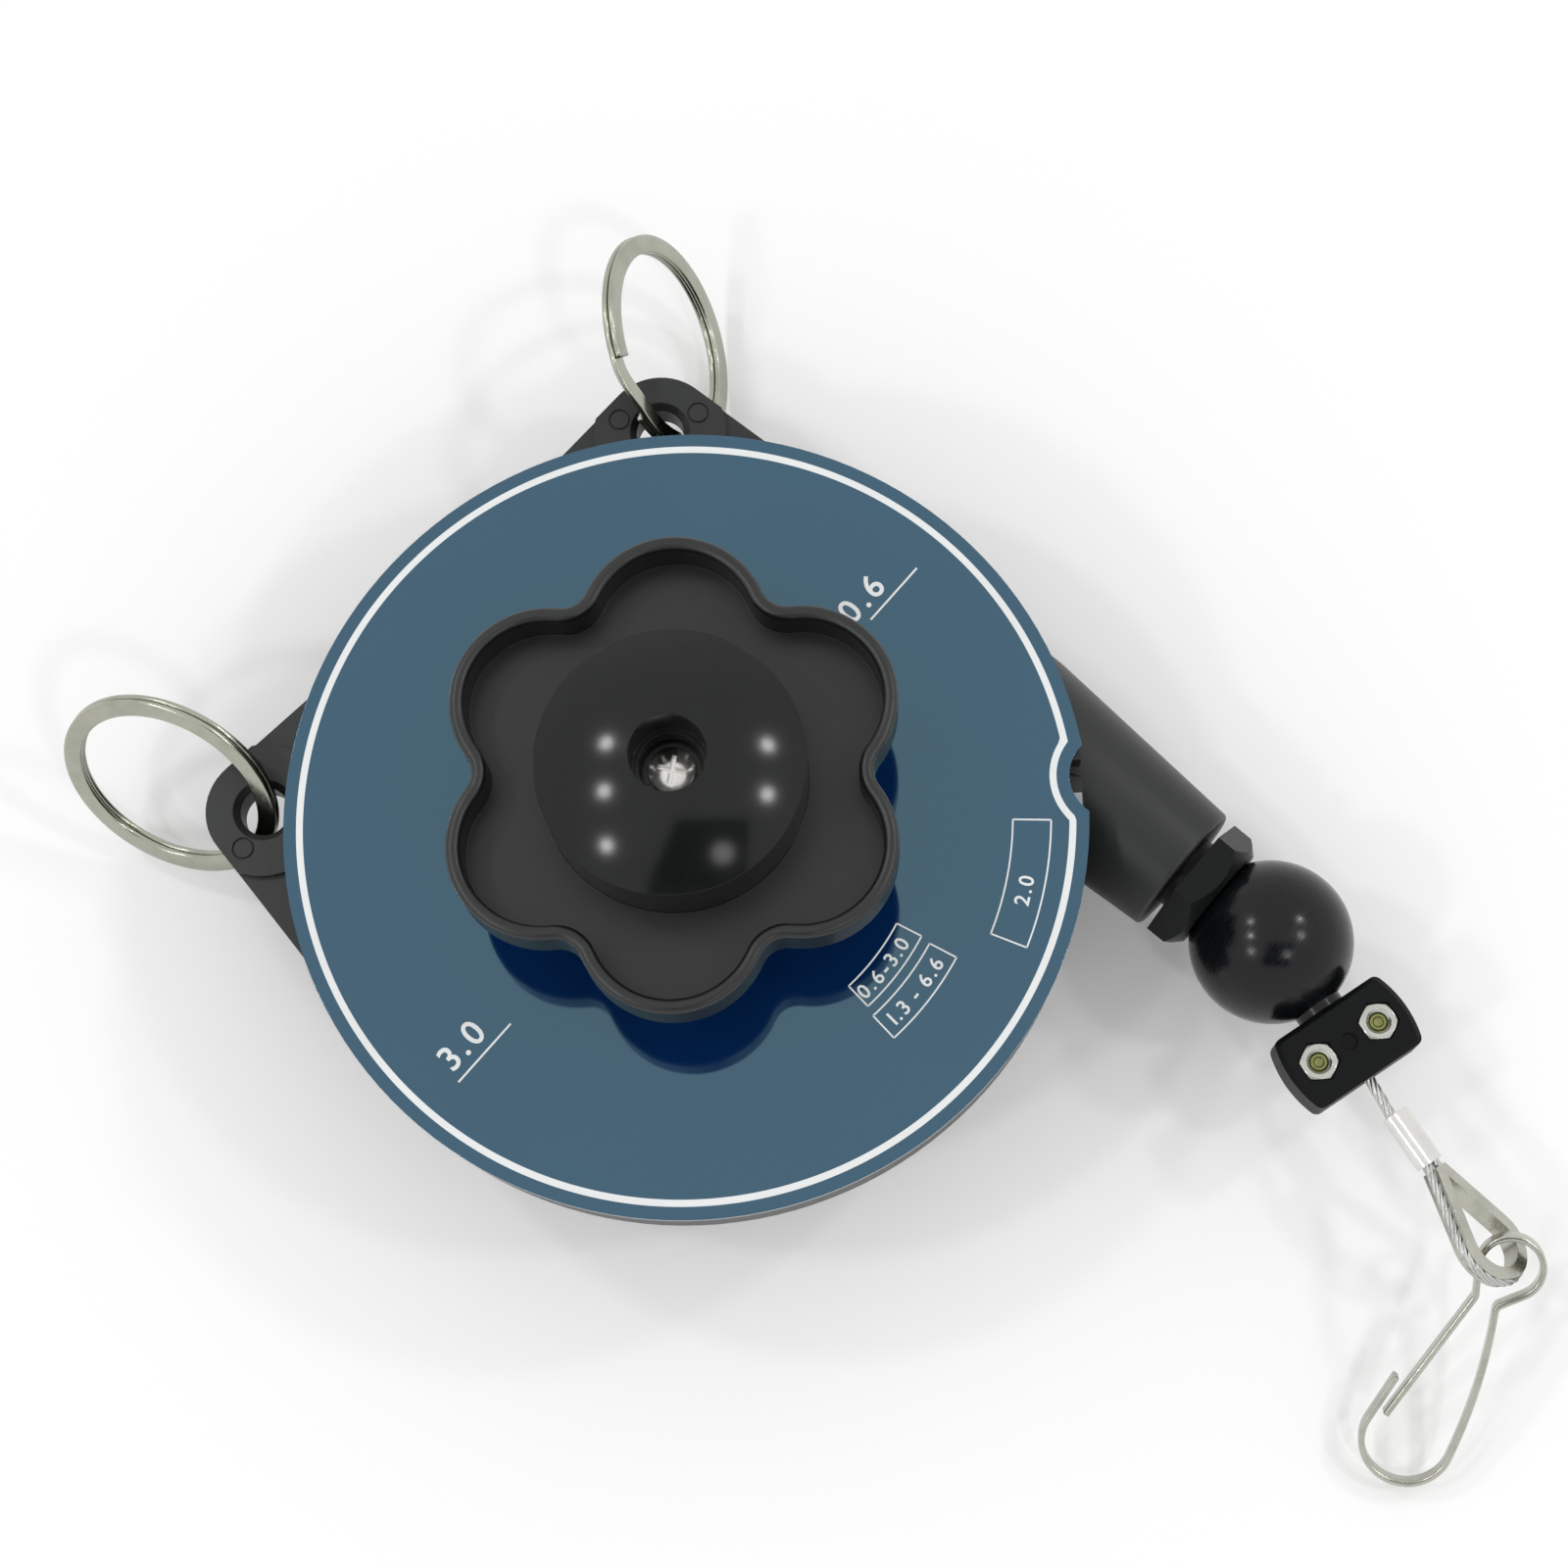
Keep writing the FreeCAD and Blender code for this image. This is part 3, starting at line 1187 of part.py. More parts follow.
def eye_cable():
    """Cable from the ferrule round the thimble and back into the ferrule."""
    radius = size.thimble_inner_radius + size.thimble_base + size.cable_radius
    slope, start, touch = teardrop(radius)
    trim = size.thimble_kink
    bend = trim / tan(slope / 2)
    before = V(start.x - trim, start.y, 0)
    along = V(cos(slope), sin(slope), 0)
    after = start + along * trim
    bend_centre = before + V(0, bend, 0)
    bend_middle = bend_centre + V(sin(slope / 2), -cos(slope / 2), 0) * bend
    mouth = V(-size.ferrule_length, start.y, 0)
    flip = lambda point: V(point.x, -point.y, 0)
    tip = V(size.thimble_reach + radius, 0, 0)
    edges = [line(mouth, before), arc(before, bend_middle, after), line(after, touch),
             arc(touch, tip, flip(touch)), line(flip(touch), flip(after)),
             arc(flip(after), flip(bend_middle), flip(before)), line(flip(before), flip(mouth))]
    path = Part.Wire(edges)
    profile = Part.Wire(Part.makeCircle(size.cable_radius, mouth, V(1, 0, 0)))
    cable = path.makePipeShell([profile], True, False)
    cable.Placement = eye_plane()
    return cable


def teardrop_plate(radius, bottom, thickness):
    """Plate bounded by a whole teardrop outline."""
    slope, start, touch = teardrop(radius)
    flip = lambda point: V(point.x, -point.y, 0)
    edges = [line(start, touch), arc(touch, V(size.thimble_reach + radius, 0, 0), flip(touch)),
             line(flip(touch), flip(start))]
    if start.y > 1e-6:
        edges.append(line(flip(start), start))
    return plate_from(edges, bottom, thickness)


def thimble_solid():
    """Grooved band bent round the inside of the eye."""
    half = size.thimble_width / 2
    inner, base = size.thimble_inner_radius, size.thimble_inner_radius + size.thimble_base
    lip = base + size.thimble_lip
    band = teardrop_plate(base, -half, 2 * half)
    flanges = [teardrop_plate(lip, -half, size.thimble_flange),
               teardrop_plate(lip, half - size.thimble_flange, size.thimble_flange)]
    opening = teardrop_plate(inner, -half - 1, 2 * half + 2)
    solid = band.fuse(flanges).removeSplitter().cut(opening)
    mouth = Part.makeBox(60, 60, 60, V(-60 + size.cable_radius, -30, -30))
    solid = solid.cut(mouth)
    solid.Placement = eye_plane()
    return solid


# Snap hook bent from one flat wire


def thimble_rim():
    """Middle of the thimble's round end, where the hook hangs."""
    reach = size.thimble_reach + size.thimble_inner_radius + size.thimble_base / 2 + size.cable_radius
    return cable_end_frame().multVec(V(0, -(ferrule_start() + size.ferrule_length + reach), 0))


def hook_frame():
    """Placement of the hook's plane: x from the eye to the far bend.

    The eye hangs off the thimble's round end, a little to one side of its middle."""
    normal = V(-0.392, -0.197, 0.899).normalize()
    along = V(-0.834, -0.264, -0.485)
    along = (along - normal * along.dot(normal)).normalize()
    across = normal.cross(along)
    eye = thimble_rim() + along * -0.9 + across * -0.2 + normal * -2.2
    matrix = FreeCAD.Matrix(along.x, across.x, normal.x, eye.x, along.y, across.y, normal.y, eye.y,
                            along.z, across.z, normal.z, eye.z, 0, 0, 0, 1)
    return FreeCAD.Placement(matrix)


def strip_along(edges):
    """Flat wire swept along a planar path."""
    half, width = size.hook_wire_thickness / 2, size.hook_wire_width
    path = Part.Wire(edges)
    face = path.makeOffset2D(half, join=0, fill=True, openResult=True, intersection=False)
    back = path.makeOffset2D(-half, join=0, fill=True, openResult=True, intersection=False)
    strip = face.extrude(V(0, 0, width)).fuse(back.extrude(V(0, 0, width))).removeSplitter()
    strip.translate(V(0, 0, -width / 2))
    return strip


def corner(before, point, after, radius):
    """Corner of a path turned with an arc: its two touching points and the arc."""
    back, ahead = (before - point).normalize(), (after - point).normalize()
    half = back.getAngle(ahead) / 2
    reach = radius / tan(half)
    start, end = point + back * reach, point + ahead * reach
    centre = point + (back + ahead).normalize() * (radius / sin(half))
    middle = centre + (point - centre).normalize() * radius
    return start, arc(start, middle, end), end


def make_snap_hook():
    eye, bend = size.hook_eye_radius, size.hook_bend_radius
    far = V(size.hook_length, -size.hook_offset, 0)
    neck = V(size.hook_neck_length, size.hook_neck_offset, 0)
    shank_end = far + V(0, bend, 0)
    shank_middle = (neck + shank_end) / 2 + V(0, size.hook_shank_bow, 0)
    turn = size.hook_corner_radius
    eye_touch, eye_left, eye_low = polar(eye, 47), polar(eye, 180), polar(eye, 290)
    tip_start = far + polar(bend, size.hook_tip_slope + 90)
    tip_end = tip_start + polar(size.hook_tip_length, size.hook_tip_slope)
    neck_in, neck_arc, neck_out = corner(eye_touch, neck, shank_middle, turn)
    edges = [arc(eye_low, eye_left, eye_touch), line(eye_touch, neck_in), neck_arc,
             arc(neck_out, shank_middle, shank_end),
             arc(shank_end, far + V(bend, 0, 0), tip_start), line(tip_start, tip_end)]
    knee = V(size.gate_knee_length, -size.gate_knee_offset, 0)
    gate_root = eye_low + (knee - eye_low).normalize() * size.clearance
    gate_end = V(size.gate_length, -size.gate_offset, 0)
    knee_in, knee_arc, knee_out = corner(gate_root, knee, gate_end, turn)
    gate = [line(gate_root, knee_in), knee_arc, line(knee_out, gate_end)]
    for label, path in (("snap_hook", edges), ("hook_gate", gate)):
        item = made(label, strip_along(path))
        item.Placement = hook_frame()
        keep(label, item)


# Split rings: flat wire wound twice


def split_ring():
    outer, inner, wrap = size.ring_outer_radius, size.ring_inner_radius, size.ring_wrap
    pitch = wrap + size.ring_wrap_gap
    upper = ring_solid(outer, inner, size.ring_wrap_gap / 2, wrap)
    lower = ring_solid(outer, inner, -size.ring_wrap_gap / 2 - wrap, wrap)
    slit = Part.makeBox(2 * outer, size.ring_slit, wrap + 1, V(0, 8, size.ring_wrap_gap / 2))
    other_slit = Part.makeBox(2 * outer, size.ring_slit, wrap + 1, V(0, -8, -size.ring_wrap_gap / 2 - wrap - 1))
    bridge = ring_solid(outer, inner, -pitch / 2, pitch)
    sector = Part.makeBox(outer, 8, 2 * pitch, V(0, -4, -pitch))
    return upper.cut(slit).fuse([lower.cut(other_slit), bridge.common(sector)]).removeSplitter()


def ring_frame(angle, lean_out, lean_side, swing, slip_out, slip_side):
    """Placement of a ring that hangs in a lug's hole: its wire crosses the hole at a lean."""
    out, side = polar(1, angle), polar(1, angle + 90)
    tangent = (UP + out * tan(radians(lean_out)) + side * tan(radians(lean_side))).normalize()
    towards = out * cos(radians(swing)) + side * sin(radians(swing))
    towards = (towards - tangent * towards.dot(tangent)).normalize()
    normal = towards.cross(tangent)
    wire = size.ring_outer_radius - size.ring_band / 2
    crossing = lug_centre(angle) + UP * size.cable_height + out * slip_out + side * slip_side
    centre = crossing + towards * wire
    matrix = FreeCAD.Matrix(towards.x, tangent.x, normal.x, centre.x, towards.y, tangent.y, normal.y, centre.y,
                            towards.z, tangent.z, normal.z, centre.z, 0, 0, 0, 1)
    return FreeCAD.Placement(matrix)


def make_rings():
    frames = {"top_ring": ring_frame(size.top_lug_angle, 8.9, 27.5, -0.9,
                                     size.top_ring_out, size.top_ring_side),
              "safety_ring": ring_frame(size.safety_lug_angle, -10.5, -28.8, -15.1,
                                        size.safety_ring_out, size.safety_ring_side)}
    turns = {"top_ring": size.top_ring_turn, "safety_ring": size.safety_ring_turn}
    for label, frame in frames.items():
        item = made(label, split_ring())
        item.Placement = frame.multiply(FreeCAD.Placement(V(0, 0, 0), FreeCAD.Rotation(UP, turns[label])))
        keep(label, item)


for maker in (make_rear_housing, make_front_cover, make_face_plate, make_cable_nozzle, make_outlet_bush,
              make_housing_screws, make_bushes, make_drum, make_winding, make_drum_fittings,
              make_power_spring, make_spindle, make_ratchet_wheel, make_retaining_ring,
              make_release_pawl, make_pawl_fittings, make_tension_knob, make_knob_fittings,
              make_cable_run, make_ball_buffer, make_clamp, make_cable_end, make_snap_hook, make_rings):
    maker()
doc.recompute()

for item in doc.Objects:
    if "Invalid" in item.State or "Error" in item.State:
        raise RuntimeError("%s did not build: %s" % (item.Label, item.State))
for label, item in parts.items():
    if item.Shape.isNull() or not item.Shape.isValid() or item.Shape.Volume <= 0:
        raise RuntimeError("%s has no valid shape" % label)

for label, item in parts.items():
    item.Shape.exportStep("parts/%s.step" % label)
    print(label, len(item.Shape.Solids), round(item.Shape.Volume, 1))
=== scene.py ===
import json
from math import asin, atan2, cos, degrees, hypot, pi, radians, sin, sqrt, tan

import bpy
from mathutils import Matrix, Vector


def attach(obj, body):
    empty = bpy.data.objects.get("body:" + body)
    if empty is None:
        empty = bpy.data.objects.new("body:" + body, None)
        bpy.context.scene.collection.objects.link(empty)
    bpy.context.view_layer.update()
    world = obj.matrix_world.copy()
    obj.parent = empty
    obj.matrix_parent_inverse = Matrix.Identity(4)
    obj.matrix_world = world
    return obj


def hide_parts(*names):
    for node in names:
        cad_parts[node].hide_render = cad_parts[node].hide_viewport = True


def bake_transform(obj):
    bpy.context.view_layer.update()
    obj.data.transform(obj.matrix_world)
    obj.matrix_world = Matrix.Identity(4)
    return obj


# Spring balancer lying on its back, in the same frame as the solids

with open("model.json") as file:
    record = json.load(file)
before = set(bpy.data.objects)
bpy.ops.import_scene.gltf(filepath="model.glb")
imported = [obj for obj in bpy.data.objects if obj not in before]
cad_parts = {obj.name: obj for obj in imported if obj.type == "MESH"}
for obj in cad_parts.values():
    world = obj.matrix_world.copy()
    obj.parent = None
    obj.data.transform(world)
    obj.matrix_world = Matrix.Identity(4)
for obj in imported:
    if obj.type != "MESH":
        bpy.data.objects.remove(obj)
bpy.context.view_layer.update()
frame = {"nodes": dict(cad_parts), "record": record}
nodes = frame["nodes"]
scene = bpy.context.scene
UP = Vector((0, 0, 1))

# Sizes and places of the pieces are in millimetres, those of the camera, floor and lights in metres

MM = 0.001

# Camera: how it is turned about its own axes, and where it sees the plate's centre

VIEW_PITCH = -0.246251165
VIEW_YAW = -0.0348200893
VIEW_ROLL = radians(49)
VIEW_TURN = (Matrix.Rotation(VIEW_PITCH, 3, "X") @ Matrix.Rotation(VIEW_YAW, 3, "Y")
             @ Matrix.Rotation(VIEW_ROLL, 3, "Z"))
PLATE_CENTRE = Vector((0, 0, 0.044))
PLATE_FROM_CAMERA = Vector((-0.0172334, -0.0054397, -0.55))
FOCAL_PIXELS = 3236.27
PICTURE_WIDTH = 1600
SENSOR_WIDTH = 36


def add_camera():
    """Camera over the knob, turned as the photograph shows it."""
    data = bpy.data.cameras.new("camera")
    data.sensor_width = SENSOR_WIDTH
    data.lens = FOCAL_PIXELS / PICTURE_WIDTH * SENSOR_WIDTH
    data.clip_start = 0.01
    data.clip_end = 20
    camera = bpy.data.objects.new("camera", data)
    scene.collection.objects.link(camera)
    turn = VIEW_TURN.transposed()
    away = turn @ PLATE_FROM_CAMERA
    camera.matrix_world = Matrix.Translation(PLATE_CENTRE - away) @ turn.to_4x4()
    scene.camera = camera


# Shader helpers, with the places of a Mix node's colour sockets

MIX_SHARE, MIX_FIRST, MIX_SECOND, MIX_RESULT = 0, 6, 7, 2


def mixed(tree, share, first, second):
    """Colour that goes from the first to the second with the share."""
    node = tree.nodes.new("ShaderNodeMix")
    node.data_type = "RGBA"
    node.inputs[MIX_FIRST].default_value = (*first, 1)
    node.inputs[MIX_SECOND].default_value = (*second, 1)
    tree.links.new(share, node.inputs[MIX_SHARE])
    return node.outputs[MIX_RESULT]


class Nodes:
    """Builds a material's node tree with short calls."""

    def __init__(self, name, color, rough, metal=0.0, specular=0.5):
        self.material = bpy.data.materials.new(name)
        self.material.use_nodes = True
        self.tree = self.material.node_tree
        self.shader = self.tree.nodes["Principled BSDF"]
        self.set("Base Color", (*color, 1))
        self.set("Roughness", rough)
        self.set("Metallic", metal)
        self.set("Specular IOR Level", specular)
        self.place = self.add("ShaderNodeTexCoord").outputs["Object"]

    def set(self, socket, value):
        self.shader.inputs[socket].default_value = value

    def add(self, kind, **settings):
        node = self.tree.nodes.new(kind)
        for key, value in settings.items():
            setattr(node, key, value)
        return node

    def link(self, source, target):
        self.tree.links.new(source, target)

    def noise(self, scale, detail, rough=0.55, stretch=None):
        """Noise on the object, with its scale in cells per metre."""
        node = self.add("ShaderNodeTexNoise")
        node.inputs["Scale"].default_value = scale
        node.inputs["Detail"].default_value = detail
        node.inputs["Roughness"].default_value = rough
        source = self.place
        if stretch:
            mapping = self.add("ShaderNodeMapping")
            mapping.inputs["Scale"].default_value = stretch
            self.link(self.place, mapping.inputs["Vector"])
            source = mapping.outputs["Vector"]
        self.link(source, node.inputs["Vector"])
        return node.outputs["Fac"]

    def ramp(self, value, low, high, start=0.0, end=1.0):
        """Maps start..end of a value onto low..high."""
        node = self.add("ShaderNodeMapRange")
        for socket, limit in (("From Min", start), ("From Max", end), ("To Min", low), ("To Max", high)):
            node.inputs[socket].default_value = limit
        self.link(value, node.inputs["Value"])
        return node.outputs["Result"]

    def color(self, share, first, second):
        """Base colour that goes from the first to the second with the share."""
        self.link(mixed(self.tree, share, first, second), self.shader.inputs["Base Color"])

    def rough(self, value, low, high, start=0.3, end=0.7):
        """Roughness that follows a value."""
        self.link(self.ramp(value, low, high, start, end), self.shader.inputs["Roughness"])

    def surface(self, height, strength, distance, soft_edge):
        """Relief of a height, over edges that look rounded by a small radius."""
        bump = self.add("ShaderNodeBump")
        bump.inputs["Strength"].default_value = strength
        bump.inputs["Distance"].default_value = distance
        self.link(height, bump.inputs["Height"])
        if soft_edge:
            bevel = self.add("ShaderNodeBevel", samples=4)
            bevel.inputs["Radius"].default_value = soft_edge
            self.link(bevel.outputs["Normal"], bump.inputs["Normal"])
        self.link(bump.outputs["Normal"], self.shader.inputs["Normal"])


def shade(color, factor, lift=0.0):
    """Colour made paler or darker."""
    return tuple(min(1.0, channel * factor + lift) for channel in color)


def plastic(name, color, rough, grain, depth, specular=0.5, soft_edge=0.0003):
    """Moulded plastic: fine grain, uneven gloss and a few paler rubbed spots."""
    m = Nodes(name, color, rough, specular=specular)
    fine = m.noise(grain, detail=5.0, rough=0.65)
    cloud = m.noise(90.0, detail=3.0)
    m.color(m.ramp(cloud, low=0.0, high=0.15, start=0.4, end=0.7), color, shade(color, 1.5, lift=0.004))
    m.rough(fine, low=rough * 0.88, high=rough * 1.15)
    m.surface(fine, strength=depth, distance=0.0001, soft_edge=soft_edge)
    return m


def metal(name, color, rough, scratch, stretch=(1, 1, 1), depth=0.06, stain=0.5):
    """Plated or ground steel with drawn lines and a little tarnish."""
    m = Nodes(name, color, rough, metal=1.0)
    lines = m.noise(scratch, detail=4.0, rough=0.6, stretch=stretch)
    cloud = m.noise(160.0, detail=3.0)
    m.color(m.ramp(cloud, low=0.0, high=stain, start=0.45, end=0.75), color, shade(color, 0.7))
    m.rough(lines, low=rough * 0.7, high=rough * 1.35)
    m.surface(lines, strength=depth, distance=0.00005, soft_edge=0.00015)
    return m


def scratched_gloss(name, color, rough, depth):
    """Glossy black plastic with hairline scratches and a trace of dust."""
    m = Nodes(name, color, rough, specular=0.3)
    across = m.noise(420.0, detail=2.0, rough=0.5, stretch=(1.0, 9.0, 3.0))
    haze = m.noise(60.0, detail=4.0)
    m.color(m.ramp(haze, low=0.0, high=0.35, start=0.45, end=0.75), color, shade(color, 1.6, lift=0.004))
    m.rough(across, low=rough * 0.75, high=rough * 1.5, start=0.35, end=0.7)
    m.surface(across, strength=depth, distance=0.00004, soft_edge=0.0003)
    return m


def enamel(name, color):
    """Printed steel sheet under a bluish gloss that mirrors the knob, hardly uneven."""
    m = Nodes(name, color, rough=0.05, specular=0.53)
    m.set("IOR", 2.0)
    m.set("Specular Tint", (0.55, 0.96, 1.0, 1))
    cloud = m.noise(22.0, detail=3.0)
    wave = m.noise(60.0, detail=2.0)
    m.color(m.ramp(cloud, low=0.0, high=1.0, start=0.35, end=0.65), color, shade(color, 0.93))
    m.rough(cloud, low=0.035, high=0.07)
    m.surface(wave, strength=0.03, distance=0.0001, soft_edge=0.0002)
    return m


def knob_plastic(name, color):
    """Knob moulding: a satin dish and rim, and a polished dome."""
    m = Nodes(name, color, rough=0.3)
    fine = m.noise(1100.0, detail=5.0, rough=0.65)
    cloud = m.noise(90.0, detail=3.0)
    length = m.add("ShaderNodeVectorMath", operation="LENGTH")
    flat = m.add("ShaderNodeMapping")
    flat.inputs["Scale"].default_value = (1, 1, 0)
    m.link(m.place, flat.inputs["Vector"])
    m.link(flat.outputs["Vector"], length.inputs[0])
    satin = m.ramp(length.outputs["Value"], low=0.0, high=1.0, start=DOME_RADIUS, end=DOME_RADIUS + DOME_EDGE)
    m.color(m.ramp(cloud, low=0.0, high=0.3, start=0.4, end=0.7), color, shade(color, 1.6, lift=0.002))
    m.link(m.ramp(satin, low=0.15, high=0.34), m.shader.inputs["Roughness"])
    m.link(m.ramp(satin, low=0.28, high=0.5), m.shader.inputs["Specular IOR Level"])
    m.surface(fine, strength=0.03, distance=0.0001, soft_edge=0.0003)
    return m


# Mesh helpers

CORNER_STEPS = 4
SHORTEST_SHARE = 0.2


def mesh_piece(name, points, faces, body, material, smooth=True):
    """Mesh of points in metres, which rides on a body if one is given."""
    data = bpy.data.meshes.new(name)
    data.from_pydata([tuple(point) for point in points], [], faces)
    data.validate()
    data.update()
    for polygon in data.polygons:
        polygon.use_smooth = smooth
    data.materials.append(material.material)
    item = bpy.data.objects.new(name, data)
    scene.collection.objects.link(item)
    if body:
        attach(item, body)
    return item


def tube_faces(rings, count, closed=False):
    """Quads between rings of points, with end caps unless the tube is closed."""
    faces = []
    for ring in range(rings if closed else rings - 1):
        here, there = ring * count, (ring + 1) % rings * count
        for index in range(count):
            after = (index + 1) % count
            faces.append((here + index, here + after, there + after, there + index))
    if not closed:
        faces.append(tuple(range(count))[::-1])
        faces.append(tuple((rings - 1) * count + index for index in range(count)))
    return faces


def rounded_section(width, height, radius):
    """Rectangle about the origin with rounded corners, as (across, up) pairs."""
    section = []
    for side_x, side_y, first in ((1, 1, 0), (-1, 1, 90), (-1, -1, 180), (1, -1, 270)):
        for step in range(CORNER_STEPS + 1):
            angle = radians(first + 90 * step / CORNER_STEPS)
            section.append((side_x * (width / 2 - radius) + radius * cos(angle),
                            side_y * (height / 2 - radius) + radius * sin(angle)))
    return section


def sweep_points(path, section, normal):
    """Section carried along a path: across is square to the path and to the normal."""
    points = []
    last = len(path) - 1
    for index, place in enumerate(path):
        along = (path[min(index + 1, last)] - path[max(index - 1, 0)]).normalized()
        across = along.cross(normal).normalized()
        up = across.cross(along).normalized()
        for x, y in section:
            points.append(place + across * x + up * y)
    return points


def polar(radius, angle):
    """Point in the plane, with its angle in degrees."""
    return Vector((radius * cos(radians(angle)), radius * sin(radians(angle)), 0))


def arc_points(centre, radius, start, end, steps):
    """Points of a planar arc, in degrees."""
    return [centre + radius * Vector((cos(radians(start + (end - start) * step / steps)),
                                      sin(radians(start + (end - start) * step / steps)), 0))
            for step in range(steps + 1)]


def arc_through(first, middle, last, steps):
    """Points of the planar arc through three points."""
    ax, ay, bx, by, cx, cy = first.x, first.y, middle.x, middle.y, last.x, last.y
    double = 2 * (ax * (by - cy) + bx * (cy - ay) + cx * (ay - by))
    squares = [ax * ax + ay * ay, bx * bx + by * by, cx * cx + cy * cy]
    x = (squares[0] * (by - cy) + squares[1] * (cy - ay) + squares[2] * (ay - by)) / double
    y = (squares[0] * (cx - bx) + squares[1] * (ax - cx) + squares[2] * (bx - ax)) / double
    centre = Vector((x, y, 0))
    start = degrees(atan2(ay - y, ax - x))
    way = degrees(atan2(by - y, bx - x))
    end = degrees(atan2(cy - y, cx - x))
    turn = (end - start) % 360
    if (way - start) % 360 > turn:
        turn -= 360
    return arc_points(centre, (first - centre).length, start, start + turn, steps)


def corner_points(before, point, after, radius, steps=8):
    """Rounded corner of a path between two straight runs."""
    back, ahead = (before - point).normalized(), (after - point).normalized()
    half = back.angle(ahead) / 2
    reach = radius / tan(half)
    start, end = point + back * reach, point + ahead * reach
    centre = point + (back + ahead).normalized() * (radius / sin(half))
    middle = centre + (point - centre).normalized() * radius
    return arc_through(start, middle, end, steps)


def evenly(path, spacing):
    """Path resampled at an even spacing, with no very short last step."""
    points, left = [path[0]], spacing
    for first, second in zip(path, path[1:]):
        length = (second - first).length
        done = 0.0
        while length - done >= left:
            done += left
            left = spacing
            points.append(first.lerp(second, done / length))
        left -= length - done
    if (points[-1] - path[-1]).length > spacing * SHORTEST_SHARE:
        points.append(path[-1])
    else:
        points[-1] = path[-1]
    return points


# Materials, with the dome's radius on the knob and the width of its edge in metres

DOME_RADIUS = 0.02225
DOME_EDGE = 0.0002

case = plastic("case_plastic", (0.006, 0.007, 0.0072), rough=0.42, grain=2600.0, depth=0.12)
smooth = plastic("smooth_plastic", (0.005, 0.006, 0.0062), rough=0.3, grain=1500.0, depth=0.05)
gloss = scratched_gloss("gloss_black", (0.003, 0.0035, 0.0045), rough=0.2, depth=0.1)
knob_black = knob_plastic("knob_plastic", (0.006, 0.0068, 0.0066))
clamp_black = plastic("clamp_plastic", (0.0035, 0.004, 0.0045), rough=0.45, grain=2000.0, depth=0.06,
                      specular=0.12)
bush_black = plastic("bush_plastic", (0.004, 0.0048, 0.0048), rough=0.36, grain=1500.0, depth=0.05,
                     specular=0.16)
zinc = metal("zinc_steel", (0.6, 0.61, 0.58), rough=0.3, scratch=900.0)
nut_steel = metal("nut_steel", (0.52, 0.53, 0.49), rough=0.24, scratch=1500.0)
yellow = metal("yellow_zinc", (0.22, 0.23, 0.09), rough=0.32, scratch=900.0)
chrome = metal("bright_chrome", (0.74, 0.73, 0.7), rough=0.17, scratch=1200.0, depth=0.03)
hook_steel = metal("hook_steel", (0.48, 0.48, 0.42), rough=0.22, scratch=1500.0, depth=0.05, stain=0.8)
dark_steel = metal("dark_steel", (0.05, 0.05, 0.048), rough=0.35, scratch=1500.0)
nickel = metal("nickel_steel", (0.4, 0.405, 0.34), rough=0.2, scratch=1500.0, stretch=(1, 1, 0.2),
               depth=0.04, stain=0.6)
spring = metal("spring_steel", (0.3, 0.31, 0.34), rough=0.35, scratch=800.0, stretch=(0.2, 0.2, 3))
cable = metal("cable_steel", (0.52, 0.52, 0.5), rough=0.34, scratch=2500.0, depth=0.1, stain=0.8)
bronze = metal("bronze", (0.62, 0.42, 0.2), rough=0.4, scratch=600.0, stretch=(1, 1, 3))
grey = plastic("drum_plastic", (0.35, 0.35, 0.33), rough=0.5, grain=1200.0, depth=0.1)
blue = enamel("blue_enamel", (0.0012, 0.018, 0.078))
white = plastic("print_white", (0.8, 0.82, 0.82), rough=0.4, grain=900.0, depth=0.01, soft_edge=0.0)

SLOT = {"case_plastic": case, "smooth_plastic": smooth, "gloss_black": gloss, "blue_enamel": blue,
        "zinc_steel": zinc, "spring_steel": spring, "bronze": bronze, "drum_plastic": grey,
        "cable_steel": cable, "bright_chrome": chrome, "nickel_steel": nickel, "yellow_zinc": yellow}
SPECIAL = {"snap_hook": hook_steel, "hook_gate": hook_steel, "thimble": hook_steel,
           "tension_knob": knob_black, "knob_washer": dark_steel,
           "clamp_upper": clamp_black, "clamp_lower": clamp_black, "outlet_bush": bush_black}


def paint_nodes():
    """Gives each solid the material of its slot, or its own where it has one."""
    for part in frame["record"]["subparts"]:
        node = part["node"]
        material = SPECIAL.get(node) or SLOT[part["material_slot"]]
        data = nodes[node].data
        data.materials.clear()
        data.materials.append(material.material)


# Print on the face plate

PLATE_TOP = 44.0
PLATE_RADIUS = 70.0
NOTCH_CENTRE = polar(74.7, -44)
NOTCH_RADIUS = 7.7
INK = 0.03
BORDER_INSETS = (2.25, 3.45)
BORDER_STEPS = 480
SEARCH_START = 40.0
SEARCH_STEPS = 40
MARK_LINE = 0.35
MARK_HEIGHT = 4.4
BOX_LINE = 0.28
BOX_STEPS = 14
CHARACTER_GAP = 0.22
SPACE_ROOM = 0.45

# Spring marks: name, text, foot of its first numeral, ends of the line below it and the line's height

MARKS = (("print_low_mark", "0.6", (45.0, 0.2), (47.8, 60.3), -1.5),
         ("print_high_mark", "3.0", (-59.6, 0.2), (-60.1, -46.8), -1.6))

# Boxed numbers: name, the box's two radii and two angles, and the text with its height, radius and angle

